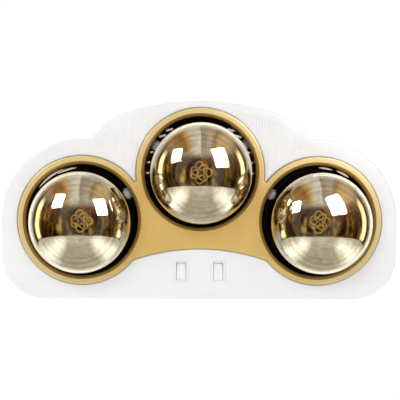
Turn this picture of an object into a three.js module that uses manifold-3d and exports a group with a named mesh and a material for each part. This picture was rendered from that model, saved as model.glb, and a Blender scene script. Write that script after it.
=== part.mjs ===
// Bathroom heat lamp with three infrared bulbs, hung flat on a wall.
//
// Millimetres. The lamp is drawn lying on its back: x to the right, y up the wall, z out of the
// wall into the room, so a depth is a distance from the wall. The last lines stand it up: in the
// finished group the wall is the plane y = 0, the room is towards -y, and +z is up. The origin is
// on the wall behind the middle of the cover's outline.

import * as THREE from "three";
import { mergeVertices } from "three/addons/utils/BufferGeometryUtils.js";
import Module from "manifold-3d";

const wasm = await Module();
wasm.setup();

// General fits
const seatGap = 0.3;            // between parts that rest on each other
const overrun = 2;              // how far a cutter passes the face it cuts
const middleMargin = 0.3;       // points nearer the middle line than this are not doubled

// Rings round the bulbs, and how the three rings lie to each other. The bezel, the cups and the
// cover are all drawn round the bulb's widest circle.
const bulbRadius = 57.5;
const bulbAirGap = 10;          // between the bulb and the bezel's opening
const bezelRingWidth = 7.5;
const ringOverlap = 2.24;       // how far neighbouring rings run into each other
const lampFall = 56.1;          // side lamps below the middle one

// Outline of the cover, made of arcs
const coverTopMargin = 8.4;     // cover beyond the middle ring
const coverSideMargin = 18.3;   // cover beyond the side rings
const coverBottomMargin = 17.5;
const cornerRadius = 51;        // the two bottom corners
const crownRadius = 286;        // wide arc over the middle lamp
const crownHalfWidth = 84;      // where the crown passes into the flanks
const flankRadius = 87.5;       // arcs that fall from the crown to the shoulders
const shoulderLift = 1.7;       // centre of the shoulder arc above the side lamp

// Front cover
const coverFrontDepth = 88;
const coverSkirtDepth = 24;     // where the skirt ends, short of the wall
const coverWall = 2.5;
const coverEdgeRadius = 5.5;

// Fluted panels beside the middle lamp
const panelOuterMargin = 5.2;   // in from the point where its edges would meet
const panelTopMargin = 10;      // in from the cover's outline
const panelSideMargin = 9;      // out from the side ring
const panelCentreMargin = 3;    // out from the middle ring
const panelRecess = 0.8;
const flutePitch = 3.6;
const fluteWidth = 1.8;
const fluteDepth = 0.9;
const fluteEndMargin = 0.8;
const shortestFlute = 4;

// Back pan
const panGap = 0.5;             // between the cover's skirt and the pan
const panWall = 1.2;
const panDepth = 46;
const keyholeX = 75;
const keyholeDrop = 76;         // below the top of the cover
const keyholeHeadRadius = 5;
const keyholeSlotWidth = 5;
const keyholeSlotLength = 12;

// Gold bezel
const bezelDepth = 4.7;         // thickness over the cover
const bezelLipWidth = 2.6;      // bevel round each opening
const bezelLipDepth = 3;
const bezelEdgeRadius = 2.2;
const bezelSleeveReach = 2.4;   // how far the lip reaches back into the cover's opening
const bezelSleeveWall = 0.7;
const bezelCuspRadius = 1.5;    // fillet where two rings meet above
const bezelJoinRadius = 6;      // fillet where web and side ring meet below
const bezelWebDepth = 14.1;     // web under the middle ring
const archRadius = 230;

// Bezel screws, two between the rings and two in the web
const bezelBossRadius = 2.6;
const bezelBossReach = 2.2;
const bezelWebScrewX = 38;
const bezelWebScrewRise = 9.5;  // above the peak of the arch
const bezelScrewHeadRadius = 3.4;
const bezelScrewHeadDepth = 1.6;
const bezelScrewRadius = 1.2;
const bezelScrewLength = 6;

// Cover screws, countersunk in the skirt
const coverScrewSideRise = 71;  // above the bottom of the cover
const coverScrewBottomX = 120;
const coverScrewHeadRadius = 3.4;
const coverScrewHeadDepth = 1.8;
const coverScrewRadius = 1.6;
const coverScrewLength = 8;
const coverScrewTip = 1;

// Black cups behind the openings
const cupWall = 1;
const cupFlangeLap = 1.5;       // flange behind the rim of the cover's opening
const cupMouthInset = 0.7;      // in from the bezel's opening
const cupDraft = 7.8;           // how much the wall narrows towards the floor
const cupLedgeDrop = 18.2;      // small step half way down the wall
const cupLedgeWidth = 1.4;
const cupFloorRise = 5;         // chamfer between floor and wall
const cupSlotCount = 6;         // on each side of the middle cup
const cupSlotPitch = THREE.MathUtils.degToRad(10.7);
const cupSlotMiddle = THREE.MathUtils.degToRad(25);
const cupSlotWidth = 3;
const cupSlotLength = 13;
const cupHoleRadius = 4;        // single hole in each side cup
const cupHoleAngle = THREE.MathUtils.degToRad(30);

// Lampholders and their brackets
const bracketThickness = 1.2;
const bracketWidth = 26;
const bracketLength = 74;
const bracketTopLength = 50;
const bracketHeight = 6;
const holderRadius = 23;
const holderNeckRadius = 20.5;
const holderNeckLength = 6;
const holderLength = 38;
const holderFloor = 6;
const holderBoreRadius = 14.6;
const shellWall = 0.7;
const shellLength = 28;
const contactThickness = 0.6;
const contactWidth = 6;
const contactHalfLength = 9;
const contactRise = 3.4;
const contactCrestHalf = 2.2;

// Bulbs
const bulbLength = 168;
const bulbDomeHeight = 50;
const bulbNeckRadius = 17;
const bulbRootRadius = 11.2;
const bulbNeckRise = 7;         // from the cap's rim to the full neck
const bulbNeckLength = 7;
const bulbGlassWall = 1;
const bulbFlareShare = 0.16;    // how long the neck's line is held in the flare
const bulbShoulderShare = 0.62; // how long the widest line is held
const bulbRootDepth = 8;        // from the tip of the cap to the end of the glass
const capLength = 27;
const capCrestRadius = 13.1;
const capRootRadius = 12.3;
const capThreads = 4;
const capTipRadius = 4.5;
const capTipHeight = 2;
const capShoulderHeight = 5;
const stemFlareRadius = 9.9;
const stemFlareHeight = 3;
const stemTaperHeight = 12;
const stemRadius = 3.2;
const stemLength = 76;
const stemButtonRadius = 4.6;
const stemButtonHeight = 5;
const filamentWireRadius = 0.8;
const filamentLegSpread = 1.7;
const filamentLegReach = 2.4;
const filamentRingRadius = 11;
const filamentRise = 9;
const filamentOpening = THREE.MathUtils.degToRad(60);

// Rocker switches
const switchSpacing = 43;
const switchRise = 32.5;        // above the bottom of the cover
const switchFlangeWidth = 17;
const switchFlangeHeight = 24.8;
const switchFlangeDepth = 1.5;
const switchBodyWall = 1;
const switchBodyDepth = 20;     // behind the cover's front
const switchCavityDepth = 13;
const rockerWidth = 10.8;
const rockerRadius = 9.5;       // half its length, round the pivot
const rockerPivotDepth = 5.3;   // behind the front of the flange
const rockerTopHeight = 5.2;
const rockerValleyHeight = 3.4;
const rockerBottomHeight = 3.2;
const rockerKeelHalf = 2.4;
const rockerKeelHeight = 5;
const rockerTilt = THREE.MathUtils.degToRad(12);
const rockerPinRadius = 1.2;
const rockerPinReach = 0.7;
const bladeWidth = 6.3;
const bladeThickness = 0.8;
const bladeLength = 10;
const bladeSeat = 3;
const bladeSpacing = 12;

// Mains entry, its pieces placed by their rise above the bottom of the cover
const blockWidth = 36;
const blockHeight = 16;
const blockDepth = 14;
const blockRise = 54;
const blockBoreRadius = 2.1;
const blockBoreSpacing = 12;
const blockScrewRadius = 1.6;
const blockScrewRow = 4.5;      // from the middle to each row of screw holes
const grommetRise = 24;
const grommetBoreRadius = 4.5;
const grommetNeckRadius = 7.6;
const grommetFlangeRadius = 9.6;
const grommetFlangeDepth = 2;
const clampRise = 39.5;
const clampWidth = 6;
const clampThickness = 1.2;
const clampArchRadius = 5;
const clampFoot = 7;
const earthX = 42;
const earthRise = 38;
const earthHeadRadius = 4;
const earthHeadDepth = 2.8;
const earthScrewRadius = 1.7;

// Leads
const leadRadius = 1.4;
const leadSeat = 3;             // how far a lead goes into a terminal bore
const leadBend = 9;             // straight stretch before a lead's first bend
const leadStepShare = 6;        // length of one step, in lead radii
const supplyRunRise = 8;        // above the block
const supplyRunDepth = 32;
const centreRunOut = 14.5;      // beyond the switch
const centreRunRise = 4;        // above the block's middle
const lampRunDepth = 22;
const lampRunIn = 58.7;         // in from the side lamp
const lampRunRise = 15.5;       // above the switches
const linkRunIn = 66.7;
const linkRunRise = 23;
const linkRunDepth = 12;
const neutralRunIn = 60.7;
const neutralRunRise = 15;
const neutralRunDepth = 8;
const neutralStartX = 5;
const holderTapRise = 17;
const neutralTapRise = 11;
const centreTapAngle = THREE.MathUtils.degToRad(-105);
const rightTapAngle = THREE.MathUtils.degToRad(-110);
const neutralTapAngle = THREE.MathUtils.degToRad(-145);

// Steps on round shapes
const cornerSteps = 5;
const shoulderSteps = 9;
const flankSteps = 6;
const crownSteps = 5;
const edgeSteps = 2;
const filletSteps = 2;
const ringSteps = 22;
const lampSteps = 24;
const smallSteps = 12;
const screwSteps = 8;
const domeSteps = 5;
const flareSteps = 5;
const leadSides = 8;
const wireSides = 6;
const wireSteps = 18;
const fullTurn = 2 * Math.PI;
const quarterTurn = Math.PI / 2;

// Rings, lamps and outline that follow from the sizes above
const bezelOpeningRadius = bulbRadius + bulbAirGap;
const bezelRingRadius = bezelOpeningRadius + bezelRingWidth;
const lampOpeningRadius = bezelOpeningRadius + bezelSleeveWall + seatGap;
const lampPitch = 2 * bezelRingRadius - ringOverlap;
const sideLampX = Math.sqrt(lampPitch ** 2 - lampFall ** 2);
const shoulderRadius = bezelRingRadius + coverSideMargin;
const coverWidth = 2 * (sideLampX + shoulderRadius);
const coverHeight = 2 * bezelRingRadius + coverTopMargin + coverBottomMargin + lampFall;
const coverTopY = coverHeight / 2;
const coverBottomY = -coverHeight / 2;
const centreLampY = coverTopY - coverTopMargin - bezelRingRadius;
const sideLampY = centreLampY - lampFall;
const panelSideLampRadius = bezelRingRadius + panelSideMargin;
const panelCentreLampRadius = bezelRingRadius + panelCentreMargin;
const archPeakY = centreLampY - bezelRingRadius - bezelWebDepth;
const keyholeY = coverTopY - keyholeDrop;
const switchY = coverBottomY + switchRise;
const blockY = coverBottomY + blockRise;
const grommetY = coverBottomY + grommetRise;
const clampY = coverBottomY + clampRise;
const earthY = coverBottomY + earthRise;
const cupFlangeRadius = lampOpeningRadius + cupFlangeLap;
const cupMouthRadius = bezelOpeningRadius - cupMouthInset;
const cupBackRadius = cupMouthRadius - cupDraft;
const cupFloorRadius = cupBackRadius - cupFloorRise;

// Depths that follow
const coverBackDepth = coverFrontDepth - coverWall;
const panFloorDepth = panWall;
const bracketTopDepth = panFloorDepth + seatGap + bracketHeight;
const holderBackDepth = bracketTopDepth + seatGap;
const holderShoulderDepth = holderBackDepth + holderLength - holderNeckLength;
const holderFloorDepth = holderBackDepth + holderFloor;
const contactCrestDepth = holderFloorDepth + seatGap + contactRise;
const bulbTipDepth = contactCrestDepth + seatGap;
const cupFloorDepth = holderShoulderDepth + seatGap;
const cupFlangeFront = coverBackDepth - seatGap;
const cupLedgeDepth = cupFlangeFront - cupLedgeDrop;
const bezelBackDepth = coverFrontDepth + seatGap;
const bezelFrontDepth = bezelBackDepth + bezelDepth;
const coverScrewDepth = (coverSkirtDepth + panDepth) / 2;
const switchFlangeFront = coverFrontDepth + seatGap + switchFlangeDepth;
const switchBackDepth = coverFrontDepth - switchBodyDepth;
const switchCavityWidth = rockerWidth + 2 * seatGap;
const switchCavityHeight = 2 * (rockerRadius + seatGap);
const pivotDepth = switchFlangeFront - rockerPivotDepth;

const lamps = [
  { side: "left", x: -sideLampX, y: sideLampY, outward: -1 },
  { side: "centre", x: 0, y: centreLampY, outward: 0 },
  { side: "right", x: sideLampX, y: sideLampY, outward: 1 },
];
const switches = [
  { side: "left", x: -switchSpacing / 2 },
  { side: "right", x: switchSpacing / 2 },
];

// Finishes
function finish(colour, roughness, metalness) {
  return new THREE.MeshStandardMaterial({ color: colour, roughness, metalness });
}
const whitePlastic = finish(0xf3f3f1, 0.35, 0);
const ivoryPlastic = finish(0xf0eee6, 0.3, 0);
const whiteSteel = finish(0xe6e6e4, 0.5, 0.1);
const goldPaint = finish(0xd2ac5c, 0.38, 0.7);
const blackEnamel = finish(0x121214, 0.25, 0.1);
const amberGlass = finish(0xe2c48c, 0.08, 0.3);
const clearGlass = finish(0xe8ecea, 0.1, 0);
const porcelain = finish(0xf0ede4, 0.3, 0);
const brassMetal = finish(0xc8a656, 0.35, 0.9);
const tinnedSteel = finish(0xb8babd, 0.4, 0.9);
const blackRubber = finish(0x1c1c1c, 0.8, 0);
const tungsten = finish(0x8c8478, 0.5, 0.8);
const leadSheath = finish(0x8a3c30, 0.6, 0);

// Solids and cuts

// A closed solid from any closed geometry.
function solidOf(geometry) {
  const bare = geometry.clone();
  bare.deleteAttribute("normal");
  bare.deleteAttribute("uv");
  const welded = mergeVertices(bare);
  const corners = welded.index.array;
  const faces = [];
  for (let start = 0; start < corners.length; start += 3) {
    const [a, b, c] = corners.slice(start, start + 3);
    if (a !== b && b !== c && c !== a) faces.push(a, b, c);
  }
  const triVerts = new Uint32Array(faces);
  const vertProperties = welded.attributes.position.array;
  return new wasm.Manifold(new wasm.Mesh({ numProp: 3, vertProperties, triVerts }));
}

function geometryOf(solid) {
  const { vertProperties, triVerts } = solid.getMesh();
  const geometry = new THREE.BufferGeometry();
  geometry.setAttribute("position", new THREE.BufferAttribute(vertProperties, 3));
  geometry.setIndex(new THREE.BufferAttribute(triVerts, 1));
  geometry.computeVertexNormals();
  return geometry;
}

// Turns a profile of [radius, depth] points about the depth axis.
function turned(profile, steps) {
  const points = profile.map(([radius, depth]) => new THREE.Vector2(radius, depth));
  return solidOf(new THREE.LatheGeometry(points, steps).rotateX(quarterTurn));
}

function cylinder(radius, fromDepth, toDepth, steps) {
  return turned([[0, fromDepth], [radius, fromDepth], [radius, toDepth], [0, toDepth]], steps);
}

function box(width, height, fromDepth, toDepth) {
  const block = new THREE.BoxGeometry(width, height, toDepth - fromDepth);
  return solidOf(block.translate(0, 0, (fromDepth + toDepth) / 2));
}

// Extrudes an outline of points from one depth to another.
function plate(points, fromDepth, toDepth) {
  const settings = { depth: toDepth - fromDepth, bevelEnabled: false };
  const solid = new THREE.ExtrudeGeometry(new THREE.Shape(points), settings);
  return solidOf(solid.translate(0, 0, fromDepth));
}

// Extrudes a side view, drawn as (y, depth) points, along x about the middle.
function sidePlate(points, width) {
  const settings = { depth: width, bevelEnabled: false };
  const solid = new THREE.ExtrudeGeometry(new THREE.Shape(points), settings);
  solid.translate(0, 0, -width / 2);
  return solidOf(solid.rotateY(quarterTurn).rotateX(quarterTurn));
}

// Skins a stack of equal rings, each { points, depth }, from back to front.
function skinned(rings) {
  const count = rings[0].points.length;
  const corners = rings.flatMap(({ points, depth }) => points.flatMap((p) => [p.x, p.y, depth]));
  const faces = [];
  for (let ring = 0; ring + 1 < rings.length; ring += 1) {
    for (let step = 0; step < count; step += 1) {
      const here = ring * count + step;
      const next = ring * count + ((step + 1) % count);
      faces.push(here, next, next + count, here, next + count, here + count);
    }
  }
  const front = (rings.length - 1) * count;
  THREE.ShapeUtils.triangulateShape(rings[0].points, []).forEach(([a, b, c]) => faces.push(c, b, a));
  THREE.ShapeUtils.triangulateShape(rings.at(-1).points, []).forEach(([a, b, c]) => {
    faces.push(front + a, front + b, front + c);
  });
  const geometry = new THREE.BufferGeometry();
  geometry.setAttribute("position", new THREE.Float32BufferAttribute(corners, 3));
  geometry.setIndex(faces);
  return solidOf(geometry);
}

// A round wire along a smooth curve through the points.
function wire(points, radius, sides, steps) {
  const path = new THREE.CatmullRomCurve3(points, false, "centripetal");
  const section = new THREE.Shape(arc(new THREE.Vector2(), radius, 0, fullTurn, sides).slice(1));
  const settings = { steps, extrudePath: path, bevelEnabled: false };
  return geometryOf(solidOf(new THREE.ExtrudeGeometry(section, settings)));
}

function joined(first, ...others) {
  return others.reduce((sum, other) => sum.add(other), first);
}

function cut(solid, ...cutters) {
  return cutters.reduce((rest, cutter) => rest.subtract(cutter), solid);
}

// Plane geometry

function arc(centre, radius, from, to, steps) {
  const points = [];
  for (let step = 0; step <= steps; step += 1) {
    const angle = from + ((to - from) * step) / steps;
    const reach = new THREE.Vector2(Math.cos(angle), Math.sin(angle)).multiplyScalar(radius);
    points.push(centre.clone().add(reach));
  }
  return points;
}

function heading(from, to) {
  return Math.atan2(to.y - from.y, to.x - from.x);
}

// Where two circles cross, on the left of the way from the first centre to the second.
function crossing(first, firstRadius, second, secondRadius) {
  const way = second.clone().sub(first);
  const distance = way.length();
  const along = (distance ** 2 + firstRadius ** 2 - secondRadius ** 2) / (2 * distance);
  const beside = Math.sqrt(firstRadius ** 2 - along ** 2);
  way.normalize();
  const left = new THREE.Vector2(-way.y, way.x);
  return first.clone().addScaledVector(way, along).addScaledVector(left, beside);
}

// Closes a right half, drawn from the bottom up, with its mirror image.
function mirrored(rightHalf) {
  const leftHalf = rightHalf.filter((point) => Math.abs(point.x) > middleMargin);
  return [...rightHalf, ...leftHalf.reverse().map((point) => new THREE.Vector2(-point.x, point.y))];
}

// Outline of the cover

const sideLampCentre = new THREE.Vector2(sideLampX, sideLampY);
const centreLampCentre = new THREE.Vector2(0, centreLampY);
const cornerCentre = new THREE.Vector2(coverWidth / 2 - cornerRadius, coverBottomY + cornerRadius);
const shoulderCentre = new THREE.Vector2(sideLampX, sideLampY + shoulderLift);
const crownCentre = new THREE.Vector2(0, coverTopY - crownRadius);
const crownEnd = Math.acos(crownHalfWidth / crownRadius);
const flankReach = new THREE.Vector2(Math.cos(crownEnd), Math.sin(crownEnd));
const flankCentre = crownCentre.clone().addScaledVector(flankReach, crownRadius - flankRadius);

// The outline drawn in by an inset, always with the same number of points.
function coverOutline(inset) {
  const shoulder = shoulderRadius - inset;
  const flank = flankRadius - inset;
  const valley = crossing(flankCentre, flank, shoulderCentre, shoulder);
  const shoulderEnd = heading(shoulderCentre, valley);
  const flankStart = heading(flankCentre, valley);
  return mirrored([
    ...arc(cornerCentre, cornerRadius - inset, -quarterTurn, 0, cornerSteps),
    ...arc(shoulderCentre, shoulder, 0, shoulderEnd, shoulderSteps),
    ...arc(flankCentre, flank, flankStart, crownEnd, flankSteps).slice(1),
    ...arc(crownCentre, crownRadius - inset, crownEnd, quarterTurn, crownSteps).slice(1),
  ]);
}

// A solid with the cover's outline and a rounded front edge.
function coverForm(inset, backDepth, frontDepth, edgeRadius) {
  const rings = [{ points: coverOutline(inset), depth: backDepth }];
  for (let step = 0; step <= edgeSteps; step += 1) {
    const angle = (quarterTurn * step) / edgeSteps;
    const drawnIn = inset + edgeRadius * (1 - Math.cos(angle));
    const depth = frontDepth - edgeRadius * (1 - Math.sin(angle));
    rings.push({ points: coverOutline(drawnIn), depth });
  }
  return skinned(rings);
}

// Cover screws: a countersunk head flush with the skirt, driven straight in. Each is drawn along
// z with its head at 0 and then turned to face outwards.

const coverScrewSideY = coverBottomY + coverScrewSideRise;
const coverScrews = [
  { name: "left", x: -coverWidth / 2, y: coverScrewSideY, turn: [0, -quarterTurn, 0] },
  { name: "right", x: coverWidth / 2, y: coverScrewSideY, turn: [0, quarterTurn, 0] },
  { name: "bottom_left", x: -coverScrewBottomX, y: coverBottomY, turn: [quarterTurn, 0, 0] },
  { name: "bottom_right", x: coverScrewBottomX, y: coverBottomY, turn: [quarterTurn, 0, 0] },
  { name: "top", x: 0, y: coverTopY, turn: [-quarterTurn, 0, 0] },
];

function coverScrewShape() {
  return turned([
    [0, -coverScrewLength],
    [coverScrewRadius / 2, -coverScrewLength],
    [coverScrewRadius, coverScrewTip - coverScrewLength],
    [coverScrewRadius, -coverScrewHeadDepth],
    [coverScrewHeadRadius, -seatGap],
    [0, -seatGap],
  ], screwSteps);
}

function coverScrewHole() {
  const slope = (coverScrewHeadRadius - coverScrewRadius) / (coverScrewHeadDepth - seatGap);
  const holeRadius = coverScrewRadius + seatGap;
  const mouthRadius = holeRadius + slope * (coverScrewHeadDepth + overrun);
  return turned([
    [0, -coverScrewLength - overrun],
    [holeRadius, -coverScrewLength - overrun],
    [holeRadius, -coverScrewHeadDepth],
    [mouthRadius, overrun],
    [0, overrun],
  ], screwSteps);
}

function placed(geometry, { x, y, turn }, depth) {
  const turnMatrix = new THREE.Matrix4().makeRotationFromEuler(new THREE.Euler(...turn));
  return geometry.applyMatrix4(turnMatrix).translate(x, y, depth);
}

function coverScrewHoles() {
  return coverScrews.map((screw) => {
    return solidOf(placed(geometryOf(coverScrewHole()), screw, coverScrewDepth));
  });
}

// Bezel screws: places, bosses on the bezel and the screws behind the cover

const ringMiddle = sideLampCentre.clone().add(centreLampCentre).divideScalar(2);
const bezelWebScrewY = archPeakY + bezelWebScrewRise;
const bezelScrewPlaces = [
  { name: "upper_left", x: -ringMiddle.x, y: ringMiddle.y },
  { name: "upper_right", x: ringMiddle.x, y: ringMiddle.y },
  { name: "lower_left", x: -bezelWebScrewX, y: bezelWebScrewY },
  { name: "lower_right", x: bezelWebScrewX, y: bezelWebScrewY },
];

function atBezelScrews(makeSolid) {
  return bezelScrewPlaces.map(({ x, y }) => makeSolid().translate([x, y, 0]));
}

function bezelScrewShape() {
  const headFront = coverBackDepth - seatGap;
  const headBack = headFront - bezelScrewHeadDepth;
  return turned([
    [0, headBack],
    [bezelScrewHeadRadius, headBack],
    [bezelScrewHeadRadius, headFront],
    [bezelScrewRadius, headFront],
    [bezelScrewRadius, headFront + bezelScrewLength],
    [0, headFront + bezelScrewLength],
  ], screwSteps);
}

// Front cover

function panelTop(x, margin) {
  const crown = crownRadius - margin;
  const flank = flankRadius - margin;
  if (x < crown * Math.cos(crownEnd)) return crownCentre.y + Math.sqrt(crown ** 2 - x ** 2);
  const across = Math.min(Math.abs(x - flankCentre.x), flank);
  return flankCentre.y + Math.sqrt(flank ** 2 - across ** 2);
}

function panelBottom(x) {
  const heights = [
    { centre: sideLampCentre, radius: panelSideLampRadius },
    { centre: centreLampCentre, radius: panelCentreLampRadius },
  ].map(({ centre, radius }) => {
    const across = Math.min(Math.abs(x - centre.x), radius);
    return centre.y + Math.sqrt(radius ** 2 - across ** 2);
  });
  return Math.max(...heights);
}

// Stations across the right-hand panel, from its outer side inwards.
function panelStations() {
  const panelFlank = flankRadius - panelTopMargin;
  const outerEnd = crossing(flankCentre, panelFlank, sideLampCentre, panelSideLampRadius);
  const stations = [];
  for (let x = outerEnd.x - panelOuterMargin; x > 0; x -= flutePitch) {
    const top = panelTop(x, panelTopMargin);
    const bottom = panelBottom(x);
    const isTallEnough = top - bottom >= shortestFlute;
    if (isTallEnough) stations.push({ x, top, bottom });
    if (!isTallEnough && stations.length > 0) break;
  }
  return stations;
}

function panelRecessCutter(stations) {
  const upper = stations.map(({ x, top }) => new THREE.Vector2(x, top));
  const lower = stations.map(({ x, bottom }) => new THREE.Vector2(x, bottom));
  const outline = [...upper, ...lower.reverse()];
  return plate(outline, coverFrontDepth - panelRecess, coverFrontDepth + overrun);
}

function fluteCutters(stations) {
  return stations.slice(0, -1).map((station, index) => {
    const next = stations[index + 1];
    const bottom = Math.max(station.bottom, next.bottom) + fluteEndMargin;
    const top = Math.min(station.top, next.top) - fluteEndMargin;
    const fromDepth = coverFrontDepth - panelRecess - fluteDepth;
    const flute = box(fluteWidth, top - bottom, fromDepth, coverFrontDepth + overrun);
    return flute.translate([(station.x + next.x) / 2, (top + bottom) / 2, 0]);
  });
}

function makeFrontCover() {
  const outside = coverForm(0, coverSkirtDepth, coverFrontDepth, coverEdgeRadius);
  const insideEdge = coverEdgeRadius - coverWall;
  const inside = coverForm(coverWall, coverSkirtDepth - overrun, coverBackDepth, insideEdge);
  const openings = lamps.map(({ x, y }) => {
    const hole = cylinder(lampOpeningRadius, coverBackDepth - overrun, coverFrontDepth + overrun, lampSteps);
    return hole.translate([x, y, 0]);
  });
  const switchHoles = switches.map(({ x }) => {
    const width = switchCavityWidth + 2 * (switchBodyWall + seatGap);
    const height = switchCavityHeight + 2 * (switchBodyWall + seatGap);
    const hole = box(width, height, coverBackDepth - overrun, coverFrontDepth + overrun);
    return hole.translate([x, switchY, 0]);
  });
  const bossHoles = atBezelScrews(() => {
    const radius = bezelBossRadius + seatGap;
    return cylinder(radius, coverBackDepth - overrun, coverFrontDepth + overrun, screwSteps);
  });
  const rightStations = panelStations();
  const rightPanel = [panelRecessCutter(rightStations), ...fluteCutters(rightStations)];
  const leftPanel = rightPanel.map((cutter) => cutter.mirror([1, 0, 0]));
  const cutters = [inside, ...openings, ...switchHoles, ...bossHoles, ...coverScrewHoles()];
  return geometryOf(cut(outside, ...cutters, ...rightPanel, ...leftPanel));
}

// Back pan, open to the front, with two keyholes, the cable hole and the earth screw's hole

function keyhole(x) {
  const fromDepth = -overrun;
  const toDepth = panFloorDepth + overrun;
  const head = cylinder(keyholeHeadRadius, fromDepth, toDepth, smallSteps);
  const slot = box(keyholeSlotWidth, keyholeSlotLength, fromDepth, toDepth);
  const end = cylinder(keyholeSlotWidth / 2, fromDepth, toDepth, smallSteps);
  const upwards = slot.translate([0, keyholeSlotLength / 2, 0]);
  return joined(head, upwards, end.translate([0, keyholeSlotLength, 0])).translate([x, keyholeY, 0]);
}

function floorHole(radius, x, y) {
  return cylinder(radius, -overrun, panFloorDepth + overrun, smallSteps).translate([x, y, 0]);
}

function makeRearHousing() {
  const outerInset = coverWall + panGap;
  const outside = skinned([
    { points: coverOutline(outerInset), depth: 0 },
    { points: coverOutline(outerInset), depth: panDepth },
  ]);
  const inside = skinned([
    { points: coverOutline(outerInset + panWall), depth: panFloorDepth },
    { points: coverOutline(outerInset + panWall), depth: panDepth + overrun },
  ]);
  const holes = [
    keyhole(-keyholeX),
    keyhole(keyholeX),
    floorHole(grommetNeckRadius + seatGap, 0, grommetY),
    floorHole(earthScrewRadius + seatGap, earthX, earthY),
  ];
  return geometryOf(cut(outside, inside, ...holes, ...coverScrewHoles()));
}

// Gold bezel: three rings and the web under the middle one

const archCentre = new THREE.Vector2(0, archPeakY - archRadius);

function bezelOutline(inset) {
  const ring = bezelRingRadius - inset;
  const toCusp = bezelRingRadius + bezelCuspRadius;
  const cusp = crossing(centreLampCentre, toCusp, sideLampCentre, toCusp);
  const toJoin = bezelRingRadius + bezelJoinRadius;
  const join = crossing(archCentre, archRadius - bezelJoinRadius, sideLampCentre, toJoin);
  const archEnd = heading(archCentre, join);
  const joinEnd = heading(join, sideLampCentre);
  const cuspStart = heading(cusp, sideLampCentre);
  const cuspEnd = heading(centreLampCentre, cusp) - Math.PI;
  const ringStart = heading(sideLampCentre, join);
  const ringEnd = heading(sideLampCentre, cusp);
  const topStart = heading(centreLampCentre, cusp);
  return mirrored([
    ...arc(archCentre, archRadius + inset, quarterTurn, archEnd, cornerSteps),
    ...arc(join, bezelJoinRadius + inset, archEnd, joinEnd, filletSteps).slice(1),
    ...arc(sideLampCentre, ring, ringStart, ringEnd, ringSteps).slice(1),
    ...arc(cusp, bezelCuspRadius + inset, cuspStart, cuspEnd, filletSteps).slice(1),
    ...arc(centreLampCentre, ring, topStart, quarterTurn, cornerSteps).slice(1),
  ]);
}

function makeGoldBezel() {
  const rings = [{ points: bezelOutline(0), depth: bezelBackDepth }];
  for (let step = 0; step <= edgeSteps; step += 1) {
    const angle = (quarterTurn * step) / edgeSteps;
    const inset = bezelEdgeRadius * (1 - Math.cos(angle));
    const depth = bezelFrontDepth - bezelEdgeRadius * (1 - Math.sin(angle));
    rings.push({ points: bezelOutline(inset), depth });
  }
  const lipDepth = bezelFrontDepth - bezelLipDepth;
  const lipSlope = bezelLipWidth / bezelLipDepth;
  const opening = turned([
    [0, bezelBackDepth - bezelSleeveReach - overrun],
    [bezelOpeningRadius, bezelBackDepth - bezelSleeveReach - overrun],
    [bezelOpeningRadius, lipDepth],
    [bezelOpeningRadius + lipSlope * (bezelLipDepth + overrun), bezelFrontDepth + overrun],
    [0, bezelFrontDepth + overrun],
  ], lampSteps);
  const sleeve = cylinder(
    lampOpeningRadius - seatGap, bezelBackDepth - bezelSleeveReach, bezelBackDepth + seatGap, lampSteps,
  );
  const sleeves = lamps.map(({ x, y }) => sleeve.translate([x, y, 0]));
  const openings = lamps.map(({ x, y }) => opening.translate([x, y, 0]));
  const bosses = atBezelScrews(() => {
    return cylinder(bezelBossRadius, bezelBackDepth - bezelBossReach, bezelBackDepth + seatGap, screwSteps);
  });
  const pilotHoles = atBezelScrews(() => {
    const toDepth = coverBackDepth + bezelScrewLength;
    return cylinder(bezelScrewRadius + seatGap, coverBackDepth - overrun, toDepth, screwSteps);
  });
  const blank = joined(skinned(rings), ...sleeves, ...bosses);
  return geometryOf(cut(blank, ...openings, ...pilotHoles));
}

// Black cup of one lamp, drawn about the lamp's own axis

const cupLedgeShare = (cupLedgeDepth - cupFloorDepth) / (cupFlangeFront - cupFloorDepth);
const cupLedgeRadius = cupBackRadius + (cupMouthRadius - cupBackRadius) * cupLedgeShare;

function cupBlank() {
  const ledgeIn = cupLedgeRadius - cupLedgeWidth / 2;
  const ledgeOut = cupLedgeRadius + cupLedgeWidth / 2;
  const hole = holderNeckRadius + seatGap;
  const floorFront = cupFloorDepth + cupWall;
  const wallStart = cupFloorDepth + cupFloorRise;
  const flangeBack = cupFlangeFront - cupWall;
  return turned([
    [hole, cupFloorDepth],
    [cupFloorRadius, cupFloorDepth],
    [cupBackRadius + cupWall, wallStart],
    [ledgeIn + cupWall, cupLedgeDepth - cupWall],
    [ledgeOut + cupWall, cupLedgeDepth - cupWall],
    [cupMouthRadius + cupWall, flangeBack],
    [cupFlangeRadius, flangeBack],
    [cupFlangeRadius, cupFlangeFront],
    [cupMouthRadius, cupFlangeFront],
    [ledgeOut, cupLedgeDepth],
    [ledgeIn, cupLedgeDepth],
    [cupBackRadius, wallStart + cupWall],
    [cupFloorRadius - cupWall, floorFront],
    [hole, floorFront],
    [hole, cupFloorDepth],
  ], lampSteps);
}

function makeCentreCup() {
  const slotFront = cupLedgeDepth - cupWall;
  const reach = cupFlangeRadius + overrun - cupFloorRadius;
  const slots = [];
  for (let index = 0; index < cupSlotCount; index += 1) {
    const angle = cupSlotMiddle + (index - (cupSlotCount - 1) / 2) * cupSlotPitch;
    [angle, Math.PI - angle].forEach((turn) => {
      const slot = new THREE.BoxGeometry(reach, cupSlotWidth, cupSlotLength);
      slot.translate(cupFloorRadius + reach / 2, 0, slotFront - cupSlotLength / 2);
      slots.push(solidOf(slot.rotateZ(turn)));
    });
  }
  return geometryOf(cut(cupBlank(), ...slots));
}

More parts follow.
